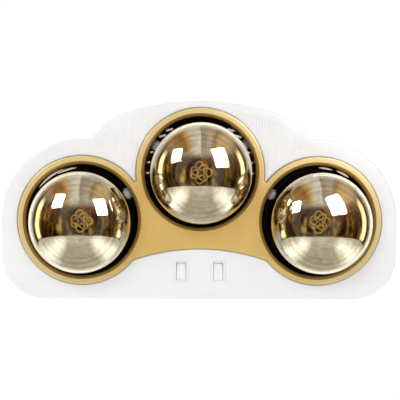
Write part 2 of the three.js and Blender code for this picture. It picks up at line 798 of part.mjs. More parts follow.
function makeSideCup(outward) {
  const reach = cupFlangeRadius + overrun - cupFloorRadius;
  const hole = new THREE.CylinderGeometry(cupHoleRadius, cupHoleRadius, reach, smallSteps);
  hole.rotateZ(quarterTurn);
  hole.translate(cupFloorRadius + reach / 2, 0, cupLedgeDepth - cupWall - cupHoleRadius);
  hole.rotateZ(outward > 0 ? Math.PI - cupHoleAngle : cupHoleAngle);
  return geometryOf(cut(cupBlank(), solidOf(hole)));
}

// Bulb

const capEndDepth = bulbTipDepth + capLength;
const bulbApexDepth = bulbTipDepth + bulbLength;
const bulbEquatorDepth = bulbApexDepth - bulbDomeHeight;
const flareStartDepth = capEndDepth + bulbNeckRise + bulbNeckLength;
const glassEndDepth = bulbTipDepth + bulbRootDepth;
const capBoreRadius = (bulbRootRadius + seatGap) / Math.cos(Math.PI / smallSteps);

// The glass from its root in the cap to the apex, drawn in by an inset.
function bulbProfile(inset) {
  const neck = bulbNeckRadius - inset;
  const widest = bulbRadius - inset;
  const flareLength = bulbEquatorDepth - flareStartDepth;
  const flare = new THREE.CubicBezierCurve(
    new THREE.Vector2(neck, flareStartDepth),
    new THREE.Vector2(neck, flareStartDepth + bulbFlareShare * flareLength),
    new THREE.Vector2(widest, bulbEquatorDepth - bulbShoulderShare * flareLength),
    new THREE.Vector2(widest, bulbEquatorDepth),
  );
  const dome = [];
  for (let step = 1; step <= domeSteps; step += 1) {
    const angle = (quarterTurn * step) / domeSteps;
    const depth = bulbEquatorDepth + (bulbDomeHeight - inset) * Math.sin(angle);
    dome.push([step < domeSteps ? widest * Math.cos(angle) : 0, depth]);
  }
  return [
    [bulbRootRadius - inset, glassEndDepth],
    [bulbRootRadius - inset, capEndDepth],
    [neck, capEndDepth + bulbNeckRise],
    ...flare.getPoints(flareSteps).map((point) => [point.x, point.y]),
    ...dome,
  ];
}

function makeBulbGlass() {
  const outside = bulbProfile(0);
  const inside = bulbProfile(bulbGlassWall).reverse();
  return geometryOf(turned([...outside, ...inside, outside[0]], lampSteps));
}

function makeBulbCap() {
  const threadStart = bulbTipDepth + capTipHeight + capShoulderHeight;
  const threadPitch = (capEndDepth - threadStart) / (capThreads + 1);
  const profile = [
    [0, bulbTipDepth],
    [capTipRadius, bulbTipDepth],
    [capTipRadius, bulbTipDepth + capTipHeight],
    [capRootRadius, threadStart],
  ];
  for (let thread = 1; thread <= capThreads; thread += 1) {
    const crest = threadStart + thread * threadPitch;
    profile.push([capCrestRadius, crest]);
    profile.push([capRootRadius, crest + threadPitch / 2]);
  }
  profile.push([capRootRadius, capEndDepth]);
  profile.push([capBoreRadius, capEndDepth]);
  profile.push([capBoreRadius, glassEndDepth - seatGap]);
  profile.push([0, glassEndDepth - seatGap]);
  return geometryOf(turned(profile, smallSteps));
}

const stemBackDepth = glassEndDepth + seatGap;
const stemTopDepth = stemBackDepth + stemLength;

function makeBulbStem() {
  const buttonBack = stemTopDepth - stemButtonHeight;
  return geometryOf(turned([
    [0, stemBackDepth],
    [stemFlareRadius, stemBackDepth],
    [stemFlareRadius, stemBackDepth + stemFlareHeight],
    [stemRadius, stemBackDepth + stemFlareHeight + stemTaperHeight],
    [stemRadius, buttonBack],
    [stemButtonRadius, buttonBack + stemButtonHeight / 2],
    [stemButtonRadius, stemTopDepth],
    [0, stemTopDepth],
  ], screwSteps));
}

// The coiled filament drawn at the width of its coil: two legs on the stem's button and a ring.
function makeFilament() {
  const legDepth = stemTopDepth + seatGap;
  const ringDepth = legDepth + filamentRise;
  const leg = (side, depth) => new THREE.Vector3(filamentLegReach, side * filamentLegSpread, depth);
  const ring = arc(
    new THREE.Vector2(), filamentRingRadius, filamentOpening / 2, fullTurn - filamentOpening / 2, cornerSteps,
  ).map((point) => new THREE.Vector3(point.x, point.y, ringDepth));
  const points = [
    leg(1, legDepth),
    leg(1, legDepth + filamentRise / 2),
    ...ring,
    leg(-1, legDepth + filamentRise / 2),
    leg(-1, legDepth),
  ];
  return wire(points, filamentWireRadius, wireSides, wireSteps);
}

// Lampholder, its threaded shell, spring contact and bracket

function makeLampholder() {
  const front = holderBackDepth + holderLength;
  return geometryOf(turned([
    [0, holderBackDepth],
    [holderRadius, holderBackDepth],
    [holderRadius, holderShoulderDepth],
    [holderNeckRadius, holderShoulderDepth],
    [holderNeckRadius, front],
    [holderBoreRadius, front],
    [holderBoreRadius, holderFloorDepth],
    [0, holderFloorDepth],
  ], lampSteps));
}

function makeHolderShell() {
  const outer = holderBoreRadius - seatGap;
  const inner = outer - shellWall;
  const back = holderFloorDepth + seatGap;
  const front = back + shellLength;
  return geometryOf(turned([
    [outer, back], [outer, front], [inner, front], [inner, back], [outer, back],
  ], smallSteps));
}

function makeCentreContact() {
  const foot = holderFloorDepth + seatGap;
  const crest = contactCrestDepth;
  const slopeStart = contactHalfLength / 2;
  const points = [
    [-contactHalfLength, foot],
    [-slopeStart, foot],
    [-contactCrestHalf, crest - contactThickness],
    [contactCrestHalf, crest - contactThickness],
    [slopeStart, foot],
    [contactHalfLength, foot],
    [contactHalfLength, foot + contactThickness],
    [slopeStart + contactThickness, foot + contactThickness],
    [contactCrestHalf, crest],
    [-contactCrestHalf, crest],
    [-slopeStart - contactThickness, foot + contactThickness],
    [-contactHalfLength, foot + contactThickness],
  ];
  return geometryOf(sidePlate(points.map(([y, depth]) => new THREE.Vector2(y, depth)), contactWidth));
}

function makeHolderBracket() {
  const foot = panFloorDepth + seatGap;
  const top = bracketTopDepth;
  const outer = bracketTopLength / 2;
  const inner = outer - bracketThickness;
  const end = bracketLength / 2;
  const points = [
    [-end, foot],
    [-inner, foot],
    [-inner, top - bracketThickness],
    [inner, top - bracketThickness],
    [inner, foot],
    [end, foot],
    [end, foot + bracketThickness],
    [outer, foot + bracketThickness],
    [outer, top],
    [-outer, top],
    [-outer, foot + bracketThickness],
    [-end, foot + bracketThickness],
  ];
  return geometryOf(sidePlate(points.map(([y, depth]) => new THREE.Vector2(y, depth)), bracketWidth));
}

// Rocker switch, drawn about its own middle

const bladeOffsets = [-bladeSpacing / 2, bladeSpacing / 2];

function makeSwitchBody() {
  const bodyWidth = switchCavityWidth + 2 * switchBodyWall;
  const bodyHeight = switchCavityHeight + 2 * switchBodyWall;
  const flangeBack = switchFlangeFront - switchFlangeDepth;
  const flange = box(switchFlangeWidth, switchFlangeHeight, flangeBack, switchFlangeFront);
  const body = box(bodyWidth, bodyHeight, switchBackDepth, flangeBack + seatGap);
  const cavityDepth = switchFlangeFront - switchCavityDepth;
  const cavity = box(switchCavityWidth, switchCavityHeight, cavityDepth, switchFlangeFront + overrun);
  const pinHole = new THREE.CylinderGeometry(
    rockerPinRadius + seatGap, rockerPinRadius + seatGap, bodyWidth + overrun, screwSteps,
  );
  pinHole.rotateZ(quarterTurn).translate(0, 0, pivotDepth);
  const slots = bladeOffsets.map((y) => {
    const slotWidth = bladeWidth + 2 * seatGap;
    const slotHeight = bladeThickness + 2 * seatGap;
    const slotFront = switchBackDepth + bladeSeat + seatGap;
    return box(slotWidth, slotHeight, switchBackDepth - overrun, slotFront).translate([0, y, 0]);
  });
  return geometryOf(cut(joined(flange, body), cavity, solidOf(pinHole), ...slots));
}

// The rocker about its pivot, as pressed at the top. Its ends are arcs round the pivot.
function makeRocker() {
  const pivot = new THREE.Vector2();
  const topAngle = Math.asin(rockerTopHeight / rockerRadius);
  const bottomAngle = -Math.asin(rockerBottomHeight / rockerRadius);
  const half = [
    new THREE.Vector2(0, -rockerKeelHeight),
    new THREE.Vector2(rockerKeelHalf, -rockerKeelHeight),
    new THREE.Vector2(rockerKeelHalf, -rockerBottomHeight),
    ...arc(pivot, rockerRadius, bottomAngle, topAngle, cornerSteps),
    new THREE.Vector2(0, rockerValleyHeight),
  ];
  const body = sidePlate(mirrored(half), rockerWidth);
  const pinLength = rockerWidth + 2 * rockerPinReach;
  const pin = new THREE.CylinderGeometry(rockerPinRadius, rockerPinRadius, pinLength, screwSteps);
  const rocker = geometryOf(body.add(solidOf(pin.rotateZ(quarterTurn))));
  return rocker.rotateX(-rockerTilt);
}

function makeBlade() {
  const front = switchBackDepth + bladeSeat;
  return geometryOf(box(bladeWidth, bladeThickness, front - bladeLength, front));
}

// Mains entry on the pan's floor

function makeTerminalBlock() {
  const back = panFloorDepth + seatGap;
  const front = back + blockDepth;
  const middle = (back + front) / 2;
  const columns = [-blockBoreSpacing, 0, blockBoreSpacing];
  const bores = columns.map((x) => {
    const length = blockHeight + overrun;
    const bore = new THREE.CylinderGeometry(blockBoreRadius, blockBoreRadius, length, screwSteps);
    return solidOf(bore.translate(x, 0, middle));
  });
  const screwHoles = columns.flatMap((x) => [-blockScrewRow, blockScrewRow].map((y) => {
    return cylinder(blockScrewRadius, middle, front + overrun, screwSteps).translate([x, y, 0]);
  }));
  return geometryOf(cut(box(blockWidth, blockHeight, back, front), ...bores, ...screwHoles));
}

function makeGrommet() {
  const flangeBack = panFloorDepth + seatGap;
  const flangeFront = flangeBack + grommetFlangeDepth;
  return geometryOf(turned([
    [grommetNeckRadius, seatGap],
    [grommetNeckRadius, flangeBack],
    [grommetFlangeRadius, flangeBack],
    [grommetFlangeRadius, flangeFront],
    [grommetBoreRadius, flangeFront],
    [grommetBoreRadius, seatGap],
    [grommetNeckRadius, seatGap],
  ], smallSteps));
}

function makeCordClamp() {
  const foot = panFloorDepth + seatGap;
  const centre = new THREE.Vector2(0, foot);
  const outerRadius = clampArchRadius + clampThickness;
  const outerAngle = Math.asin(clampThickness / outerRadius);
  const footEnd = outerRadius + clampFoot;
  const outline = [
    new THREE.Vector2(footEnd, foot),
    new THREE.Vector2(footEnd, foot + clampThickness),
    ...arc(centre, outerRadius, outerAngle, Math.PI - outerAngle, cornerSteps),
    new THREE.Vector2(-footEnd, foot + clampThickness),
    new THREE.Vector2(-footEnd, foot),
    ...arc(centre, clampArchRadius, Math.PI, 0, cornerSteps),
  ];
  const settings = { depth: clampWidth, bevelEnabled: false };
  const strip = new THREE.ExtrudeGeometry(new THREE.Shape(outline), settings);
  strip.translate(0, 0, -clampWidth / 2);
  return geometryOf(solidOf(strip.rotateX(quarterTurn)));
}

function makeEarthScrew() {
  const headBack = panFloorDepth + seatGap;
  return geometryOf(turned([
    [0, seatGap],
    [earthScrewRadius, seatGap],
    [earthScrewRadius, headBack],
    [earthHeadRadius, headBack],
    [earthHeadRadius, headBack + earthHeadDepth],
    [0, headBack + earthHeadDepth],
  ], screwSteps));
}

// Leads. Each starts and ends a seat gap from the terminal that it serves, and its points between
// are hand-placed offsets from those ends.

const blockMiddleDepth = panFloorDepth + seatGap + blockDepth / 2;
const blockTopY = blockY + blockHeight / 2;
const bladeBackDepth = switchBackDepth + bladeSeat - bladeLength - seatGap;

function blockPort(column) {
  return new THREE.Vector3(column * blockBoreSpacing, blockTopY - leadSeat, blockMiddleDepth);
}

function bladeEnd(side, row) {
  return new THREE.Vector3((side * switchSpacing) / 2, switchY + (row * bladeSpacing) / 2, bladeBackDepth);
}

// A point on a lampholder's side, in the direction of an angle, and the way out from it.
function holderEnd(centre, angle, rise) {
  const reach = holderRadius + seatGap;
  const depth = holderBackDepth + rise;
  const x = centre.x + reach * Math.cos(angle);
  const y = centre.y + reach * Math.sin(angle);
  const outward = new THREE.Vector3(Math.cos(angle), Math.sin(angle), 0);
  return { point: new THREE.Vector3(x, y, depth), outward };
}

const centreRunX = switchSpacing / 2 + centreRunOut;
const centreRunY = blockY + centreRunRise;
const lampRunX = sideLampX - lampRunIn;
const lampRunY = switchY + lampRunRise;
const linkRunX = sideLampX - linkRunIn;
const linkRunY = blockTopY + linkRunRise;
const neutralRunX = sideLampX - neutralRunIn;
const neutralRunY = blockTopY + neutralRunRise;

function offset(point, x, y, z) {
  return new THREE.Vector3(point.x + x, point.y + y, point.z + z);
}

function leadPoints() {
  const rightLamp = sideLampCentre;
  const leftLamp = new THREE.Vector2(-sideLampX, sideLampY);
  const centreTap = holderEnd(centreLampCentre, centreTapAngle, holderTapRise);
  const rightTap = holderEnd(rightLamp, rightTapAngle, holderTapRise);
  const neutralTap = holderEnd(rightLamp, neutralTapAngle, neutralTapRise);
  const linkRight = holderEnd(rightLamp, Math.PI, holderTapRise);
  const linkLeft = holderEnd(leftLamp, 0, holderTapRise);
  const before = ({ point, outward }) => point.clone().addScaledVector(outward, leadBend);
  const supply = (side) => {
    const port = blockPort(side);
    const blade = bladeEnd(side, 1);
    return [
      port,
      offset(port, 0, leadSeat + supplyRunRise / 2, 0),
      offset(port, 0, leadSeat + supplyRunRise, supplyRunDepth / 2),
      new THREE.Vector3(blade.x, port.y, port.z + supplyRunDepth),
      offset(blade, 0, 0, -leadBend),
      blade,
    ];
  };
  const lowerLeftBlade = bladeEnd(-1, -1);
  const lowerRightBlade = bladeEnd(1, -1);
  const middlePort = blockPort(0);
  return {
    supply_left: supply(-1),
    supply_right: supply(1),
    centre_lamp: [
      lowerLeftBlade,
      offset(lowerLeftBlade, 0, 0, -leadBend),
      new THREE.Vector3(-centreRunX, (centreRunY + switchY) / 2, lampRunDepth + leadBend),
      new THREE.Vector3(-centreRunX, centreRunY, lampRunDepth),
      before(centreTap),
      centreTap.point,
    ],
    right_lamp: [
      lowerRightBlade,
      offset(lowerRightBlade, 0, 0, -leadBend),
      new THREE.Vector3(lampRunX / 2, switchY, lampRunDepth + leadBend),
      new THREE.Vector3(lampRunX, lampRunY, lampRunDepth),
      before(rightTap),
      rightTap.point,
    ],
    side_link: [
      linkRight.point,
      before(linkRight),
      new THREE.Vector3(linkRunX, linkRunY, linkRunDepth),
      new THREE.Vector3(0, linkRunY, linkRunDepth),
      new THREE.Vector3(-linkRunX, linkRunY, linkRunDepth),
      before(linkLeft),
      linkLeft.point,
    ],
    neutral: [
      middlePort,
      offset(middlePort, 0, leadSeat + supplyRunRise, 0),
      new THREE.Vector3(neutralStartX, neutralRunY, neutralRunDepth),
      new THREE.Vector3(neutralRunX / 2, neutralRunY, neutralRunDepth),
      new THREE.Vector3(neutralRunX, neutralRunY, neutralRunDepth),
      before(neutralTap),
      neutralTap.point,
    ],
  };
}

function makeLead(points) {
  const length = new THREE.CatmullRomCurve3(points, false, "centripetal").getLength();
  const steps = Math.ceil(length / (leadStepShare * leadRadius));
  return wire(points, leadRadius, leadSides, steps);
}

// Assembly

const lamp = new THREE.Group();

function add(name, geometry, material, place = [0, 0, 0], parent = lamp) {
  const mesh = new THREE.Mesh(geometry, material);
  mesh.name = name;
  mesh.position.set(...place);
  parent.add(mesh);
}

add("rear_housing", makeRearHousing(), whiteSteel);
add("front_cover", makeFrontCover(), whitePlastic);
add("gold_bezel", makeGoldBezel(), goldPaint);

const bulbGlass = makeBulbGlass();
const bulbCap = makeBulbCap();
const bulbStem = makeBulbStem();
const filament = makeFilament();
const lampholder = makeLampholder();
const holderShell = makeHolderShell();
const centreContact = makeCentreContact();
const holderBracket = makeHolderBracket();

lamps.forEach(({ side, x, y, outward }) => {
  const unit = new THREE.Group();
  unit.position.set(x, y, 0);
  const cup = outward === 0 ? makeCentreCup() : makeSideCup(outward);
  add(`lamp_cup_${side}`, cup, blackEnamel, [0, 0, 0], unit);
  add(`bulb_glass_${side}`, bulbGlass, amberGlass, [0, 0, 0], unit);
  add(`bulb_cap_${side}`, bulbCap, tinnedSteel, [0, 0, 0], unit);
  add(`bulb_stem_${side}`, bulbStem, clearGlass, [0, 0, 0], unit);
  add(`filament_${side}`, filament, tungsten, [0, 0, 0], unit);
  add(`lampholder_${side}`, lampholder, porcelain, [0, 0, 0], unit);
  add(`holder_shell_${side}`, holderShell, brassMetal, [0, 0, 0], unit);
  add(`centre_contact_${side}`, centreContact, brassMetal, [0, 0, 0], unit);
  add(`holder_bracket_${side}`, holderBracket, tinnedSteel, [0, 0, 0], unit);
  lamp.add(unit);
});

switches.forEach(({ side, x }) => {
  add(`switch_body_${side}`, makeSwitchBody(), whitePlastic, [x, switchY, 0]);
  add(`rocker_${side}`, makeRocker(), ivoryPlastic, [x, switchY, pivotDepth]);
  add(`switch_blade_${side}_lower`, makeBlade(), brassMetal, [x, switchY + bladeOffsets[0], 0]);
  add(`switch_blade_${side}_upper`, makeBlade(), brassMetal, [x, switchY + bladeOffsets[1], 0]);
});

add("terminal_block", makeTerminalBlock(), porcelain, [0, blockY, 0]);
add("cable_grommet", makeGrommet(), blackRubber, [0, grommetY, 0]);
add("cord_clamp", makeCordClamp(), tinnedSteel, [0, clampY, 0]);
add("earth_screw", makeEarthScrew(), brassMetal, [earthX, earthY, 0]);

coverScrews.forEach((screw) => {
  const geometry = placed(geometryOf(coverScrewShape()), screw, coverScrewDepth);
  add(`cover_screw_${screw.name}`, geometry, tinnedSteel);
});
bezelScrewPlaces.forEach(({ name, x, y }) => {
  add(`bezel_screw_${name}`, geometryOf(bezelScrewShape()), tinnedSteel, [x, y, 0]);
});
Object.entries(leadPoints()).forEach(([name, points]) => {
  add(`lead_${name}`, makeLead(points), leadSheath);
});

// Stand the lamp up against the wall.
lamp.rotation.x = quarterTurn;

const heatLamp = new THREE.Group();
heatLamp.add(lamp);

export default heatLamp;
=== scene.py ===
import math

import bmesh
import bpy
from mathutils import Matrix, Vector


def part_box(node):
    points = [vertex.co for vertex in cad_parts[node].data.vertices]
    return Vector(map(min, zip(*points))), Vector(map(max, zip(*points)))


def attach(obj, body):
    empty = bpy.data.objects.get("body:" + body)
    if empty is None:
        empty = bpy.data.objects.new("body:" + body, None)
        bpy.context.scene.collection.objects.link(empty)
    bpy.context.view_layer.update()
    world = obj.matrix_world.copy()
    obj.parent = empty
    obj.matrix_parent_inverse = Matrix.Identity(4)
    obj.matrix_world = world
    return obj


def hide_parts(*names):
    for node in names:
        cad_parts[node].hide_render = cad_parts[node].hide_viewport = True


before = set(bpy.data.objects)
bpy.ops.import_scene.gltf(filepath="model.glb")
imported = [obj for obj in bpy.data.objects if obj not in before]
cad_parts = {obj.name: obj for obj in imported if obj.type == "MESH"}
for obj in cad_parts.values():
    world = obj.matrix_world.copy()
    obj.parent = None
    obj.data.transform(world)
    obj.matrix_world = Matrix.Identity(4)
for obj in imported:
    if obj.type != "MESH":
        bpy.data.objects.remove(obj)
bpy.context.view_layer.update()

# Bathroom heat lamp with three infrared bulbs. Lengths in the tables below are millimetres and
# become metres where a mesh is made. x runs across the lamp, z up the wall, and a depth is the
# distance in front of the wall, so a point lies at (x, -depth, z).

MM = 0.001
FULL_TURN = 2 * math.pi
QUARTER_TURN = math.pi / 2


# Places read from the frame

def extent(node):
    """Left, right, back, front, bottom and top of a solid in millimetres."""
    low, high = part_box(node)
    return [value / MM for value in (low.x, high.x, -high.y, -low.y, low.z, high.z)]


def centre_of(node):
    """x and z of the middle of a solid."""
    left, right, _, _, bottom, top = extent(node)
    return (left + right) / 2, (bottom + top) / 2


SIDES = ("left", "centre", "right")
LAMP_AXES = {side: centre_of(f"bulb_glass_{side}") for side in SIDES}
SIDE_LAMP = Vector(LAMP_AXES["right"])
CENTRE_LAMP = Vector(LAMP_AXES["centre"])

BULB_LEFT, BULB_RIGHT, BULB_ROOT, BULB_APEX, _, _ = extent("bulb_glass_centre")
COVER_LEFT, COVER_RIGHT, COVER_SKIRT, COVER_FRONT, COVER_BOTTOM, COVER_TOP = extent("front_cover")
CUP_LEFT, CUP_RIGHT, CUP_FLOOR, CUP_FRONT, _, _ = extent("lamp_cup_centre")
_, _, _, BEZEL_FRONT, _, _ = extent("gold_bezel")
BULB_RADIUS = (BULB_RIGHT - BULB_LEFT) / 2
COVER_HALF_WIDTH = (COVER_RIGHT - COVER_LEFT) / 2
CUP_FLANGE_RADIUS = (CUP_RIGHT - CUP_LEFT) / 2

# Clearances and overlaps shared by several pieces
OVERRUN = 2
SEAT_GAP = 0.3
SEAT_OVERLAP = 0.05
WELD_DISTANCE = 0.0005
LATHE_STEPS = 128
EDGE_STEPS = 8


# Colours and patterns

def linear(hex_colour):
    """Linear red, green, blue and alpha of an sRGB hex colour."""
    channels = [int(hex_colour[at:at + 2], 16) / 255 for at in (1, 3, 5)]
    return [c / 12.92 if c <= 0.04045 else ((c + 0.055) / 1.055) ** 2.4 for c in channels] + [1]


def per_metre(size):
    """Texture scale that gives features of a real size in millimetres."""
    return 1 / (size * MM)


def add_node(tree, kind, inputs=None, **settings):
    """Adds a node: settings are its properties, inputs its sockets' values or what they are linked to.

    A node given as an input stands for the first of its outputs that is in use.
    """
    made = tree.nodes.new(kind)
    for name, value in settings.items():
        setattr(made, name, value)
    for name, value in (inputs or {}).items():
        if isinstance(value, bpy.types.Node):
            value = next(output for output in value.outputs if output.enabled)
        if isinstance(value, bpy.types.NodeSocket):
            tree.links.new(value, made.inputs[name])
        else:
            made.inputs[name].default_value = value
    return made


def set_stops(ramp, stops):
    """Gives a colour ramp its places from 0 to 1 with their sRGB hex colours."""
    elements = ramp.color_ramp.elements
    for element, (place, colour) in zip(elements, (stops[0], stops[-1])):
        element.position, element.color = place, linear(colour)
    for place, colour in stops[1:-1]:
        elements.new(place).color = linear(colour)
    return ramp


def new_material(name, scale=(1.0, 1.0, 1.0)):
    """A material, its emptied tree, and object coordinates through a mapping."""
    material = bpy.data.materials.new(name)
    material.use_nodes = True
    tree = material.node_tree
    tree.nodes.clear()
    where = add_node(tree, "ShaderNodeTexCoord")
    spot = add_node(tree, "ShaderNodeMapping", {"Vector": where.outputs["Object"], "Scale": scale})
    return material, tree, spot


def add_surface(tree, tone, shades, grit, roughness, relief, height, shader):
    """A principled shader whose colour, roughness and relief each follow a pattern.

    shades are the stops of the colour ramp, roughness its least and most, height the relief's in
    millimetres (0 for none), and shader what else is set on the shader's own sockets.
    """
    smooth, rough = roughness
    looks = {
        "Base Color": set_stops(add_node(tree, "ShaderNodeValToRGB", {"Fac": tone}), shades),
        "Roughness": add_node(tree, "ShaderNodeMapRange", {
            "Value": grit, "To Min": smooth, "To Max": rough,
        }),
    }
    if height:
        looks["Normal"] = add_node(tree, "ShaderNodeBump", {"Height": relief, "Distance": height * MM})
    surface = add_node(tree, "ShaderNodeBsdfPrincipled", {**looks, **shader})
    add_node(tree, "ShaderNodeOutputMaterial", {"Surface": surface})
    return surface


def one_pattern(name, sizes, detail, shades, roughness, height, **shader):
    """A material led by one noise, whose features have these millimetres along x, y and z."""
    material, tree, spot = new_material(name, [per_metre(size) for size in sizes])
    noise = add_node(tree, "ShaderNodeTexNoise", {"Vector": spot, "Scale": 1.0, "Detail": detail})
    add_surface(tree, noise, shades, noise, roughness, noise, height, shader)
    return material


# Finishes

# Painted highlight on the gold: paler from the first distance in metres from this point, fully pale at the
# second.
HIGHLIGHT_MIDDLE = (0.0, -0.09, -0.045)
HIGHLIGHT_START = 0.085
HIGHLIGHT_FULL = 0.14
AXIS_DISTANCE = "axis_distance"


def satin_abs(name, dark, light, grain, gloss):
    """Moulded ABS: a fine spark-eroded grain that softens the shine, and faint flow clouding."""
    material, tree, spot = new_material(name)
    cloud, fine = [add_node(tree, "ShaderNodeTexNoise", {
        "Vector": spot, "Scale": per_metre(size), "Detail": detail,
    }) for size, detail in ((60, 3.0), (grain, 2.0))]
    shades = ((0.3, dark), (0.7, light))
    add_surface(tree, cloud, shades, fine, (gloss, gloss + 0.1), fine, 0.02, {"IOR": 1.53})
    return material


def flake_lacquer(name, shades, highlight_shades=None):
    """Lacquer with metal flake on a moulded bezel: a warm satin shine, sparkling when close.

    With highlight shades it fades to them away from a point below the centre lamp: a painted highlight, paler
    on the outer and upper parts of the rings.
    """
    material, tree, spot = new_material(name)
    flake = add_node(tree, "ShaderNodeTexVoronoi", {"Vector": spot, "Scale": per_metre(0.7)})
    cloud = add_node(tree, "ShaderNodeTexNoise", {"Vector": spot, "Scale": per_metre(45), "Detail": 4.0})
    tone = add_node(tree, "ShaderNodeMix", {
        "Factor": 0.35, "A": cloud, "B": flake.outputs["Color"],
    }, data_type="FLOAT")
    surface = add_surface(tree, tone, shades, flake, (0.3, 0.42), cloud, 0.03, {
        "Metallic": 0.25, "Coat Weight": 0.35, "Coat Roughness": 0.2,
    })
    if highlight_shades:
        full = surface.inputs["Base Color"].links[0].from_node
        painted_highlight = set_stops(add_node(tree, "ShaderNodeValToRGB", {"Fac": tone}), highlight_shades)
        spread = add_node(tree, "ShaderNodeVectorMath", {0: spot, 1: HIGHLIGHT_MIDDLE}, operation="DISTANCE")
        highlight_amount = add_node(tree, "ShaderNodeMapRange", {
            "Value": spread, "From Min": HIGHLIGHT_START, "From Max": HIGHLIGHT_FULL,
        })
        mixed = add_node(tree, "ShaderNodeMix", {"Factor": highlight_amount, "A": full, "B": painted_highlight}, data_type="RGBA")
        tree.links.new(mixed.outputs["Result"], surface.inputs["Base Color"])
    return material


def stove_enamel():
    """Black stove enamel on pressed steel: deep gloss with the slight ripple called orange peel."""
    material, tree, spot = new_material("black_stove_enamel")
    ripple, dust = [add_node(tree, "ShaderNodeTexNoise", {
        "Vector": spot, "Scale": per_metre(size), "Detail": detail,
    }) for size, detail in ((2.5, 2.0), (14, 4.0))]
    add_surface(tree, dust, ((0.35, "#070708"), (0.75, "#141315")), dust, (0.05, 0.12), ripple, 0.04, {
        "IOR": 1.6, "Coat Weight": 0.8, "Coat Roughness": 0.04,
    })
    return material


def lustre_glass():
    """Blown bulb glass with an amber lustre coat: part window, part mirror, all mirror at its rim.

    Spinning it on its axis leaves fine rings, greener and darker than the coat between them.
    """
    material, tree, spot = new_material("amber_lustre_glass")
    slant = add_node(tree, "ShaderNodeLayerWeight", {"Blend": 0.5})
    veil = add_node(tree, "ShaderNodeMapRange", {
        "Value": slant.outputs["Facing"],
        "From Min": 0.62, "From Max": 0.8, "To Min": 0.3, "To Max": 0.97,
    })
    waves, streak = [add_node(tree, "ShaderNodeTexNoise", {
        "Vector": spot, "Scale": per_metre(size), "Detail": detail,
    }) for size, detail in ((26, 1.0), (8, 3.0))]
    out_from_axis = add_node(tree, "ShaderNodeAttribute", attribute_name=AXIS_DISTANCE)
    rings = add_node(tree, "ShaderNodeTexNoise", {
        "W": out_from_axis.outputs["Fac"], "Scale": per_metre(3), "Detail": 3.0, "Roughness": 0.7,
    }, noise_dimensions="1D")
    uneven = add_node(tree, "ShaderNodeMath", {0: rings, 1: streak, 2: 0.25}, operation="MULTIPLY_ADD")
    relief = add_node(tree, "ShaderNodeMath", {0: rings, 1: 0.15, 2: waves}, operation="MULTIPLY_ADD")
    shades = ((0.36, "#DFD7B6"), (0.64, "#FFFBF0"))
    add_surface(tree, uneven, shades, streak, (0.0, 0.03), relief, 0.25, {
        "Metallic": 1.0, "Alpha": veil,
    })
    return material


def bare_metal(name, dark, light, grain, smooth, rough, metallic=1.0):
    """Bare or plated metal: drawn or brushed lines along one way, bright on the rubbed spots."""
    return one_pattern(name, (grain, grain, grain * 12), 3.0, ((0.3, dark), (0.7, light)),
                       (smooth, rough), 0.01, Metallic=metallic)


def glazed_porcelain(name, dark, light, grain):
    """Glazed ceramic or enamel: milky, with tiny specks under a wet-looking glaze."""
    return one_pattern(name, (grain, grain, grain), 3.0, ((0.25, dark), (0.55, light)),
                       (0.12, 0.28), 0.05, **{"IOR": 1.5, "Coat Weight": 0.6})


def moulded_rubber(name, dark, light, grain):
    """Moulded rubber or silicone: matt, with a dusty bloom in soft patches."""
    return one_pattern(name, (grain, grain, grain), 5.0, ((0.3, dark), (0.75, light)),
                       (0.55, 0.8), 0.05, IOR=1.52)


def powder_coat():
    """White polyester powder coat on steel: even, with the fine pebble that powder leaves."""
    material, tree, spot = new_material("white_powder_coat")
    pebble = add_node(tree, "ShaderNodeTexVoronoi", {"Vector": spot, "Scale": per_metre(1.2)})
    cloud = add_node(tree, "ShaderNodeTexNoise", {"Vector": spot, "Scale": per_metre(50), "Detail": 4.0})
    shades = ((0.3, "#E2E2DF"), (0.7, "#E9E9E6"))
    add_surface(tree, cloud, shades, pebble, (0.38, 0.5), pebble, 0.06, {"IOR": 1.5})
    return material


COVER_FINISH = satin_abs("satin_white_abs", "#E9EBEE", "#EFF1F4", 0.9, 0.3)
# Black on the switch housing stands for the shade in the cavity round the rocker: painted shade.
CAVITY_SHADE_FINISH = satin_abs("black_cavity_painted_shade", "#19191B", "#2A2A2C", 0.9, 0.4)
SWITCH_FINISH = satin_abs("ivory_switch_abs", "#EEF0EE", "#F3F5F2", 0.7, 0.24)
# The gold's paler second shades are a painted highlight on the rings' outer and upper parts.
BEZEL_FINISH = flake_lacquer(
    "gold_lacquer_and_painted_highlight", ((0.25, "#D9B25E"), (0.8, "#E8CA7E")), ((0.25, "#DBC480"), (0.8, "#EBDBA6")))
# Darker bronze on the bezel's bevelled lip and steep outer rim: painted shade.
LIP_AND_RIM_SHADE_FINISH = flake_lacquer("bronze_lacquer_painted_shade", ((0.25, "#7E602C"), (0.8, "#A0803F")))
CUP_FINISH = stove_enamel()
LUSTRE_FINISH = lustre_glass()
# The vacuum-silvered reflector behind amber glass: a golden mirror with drawing rings
SILVER_FINISH = one_pattern(
    "silvered_amber_glass", (30, 3.5, 30), 3.0, ((0.35, "#7E4C1A"), (0.65, "#FFE2A0")),
    (0.02, 0.1), 1.4, Metallic=1.0)
# The edge of the silvering above the bulb's neck, thinned by heat: a dull grey-green mirror
CLOUD_FINISH = one_pattern(
    "clouded_silvered_glass", (7, 7, 7), 3.0, ((0.3, "#868475"), (0.7, "#BDBAA8")),
    (0.18, 0.32), 0.3, Metallic=0.3)
# The glass of the bulb's neck, darkened by years of heat: brown-black and softly shiny
NECK_FINISH = one_pattern(
    "smoked_neck_glass", (9, 9, 9), 4.0, ((0.3, "#3A2013"), (0.7, "#6A4426")),
    (0.08, 0.25), 0.2, IOR=1.5)
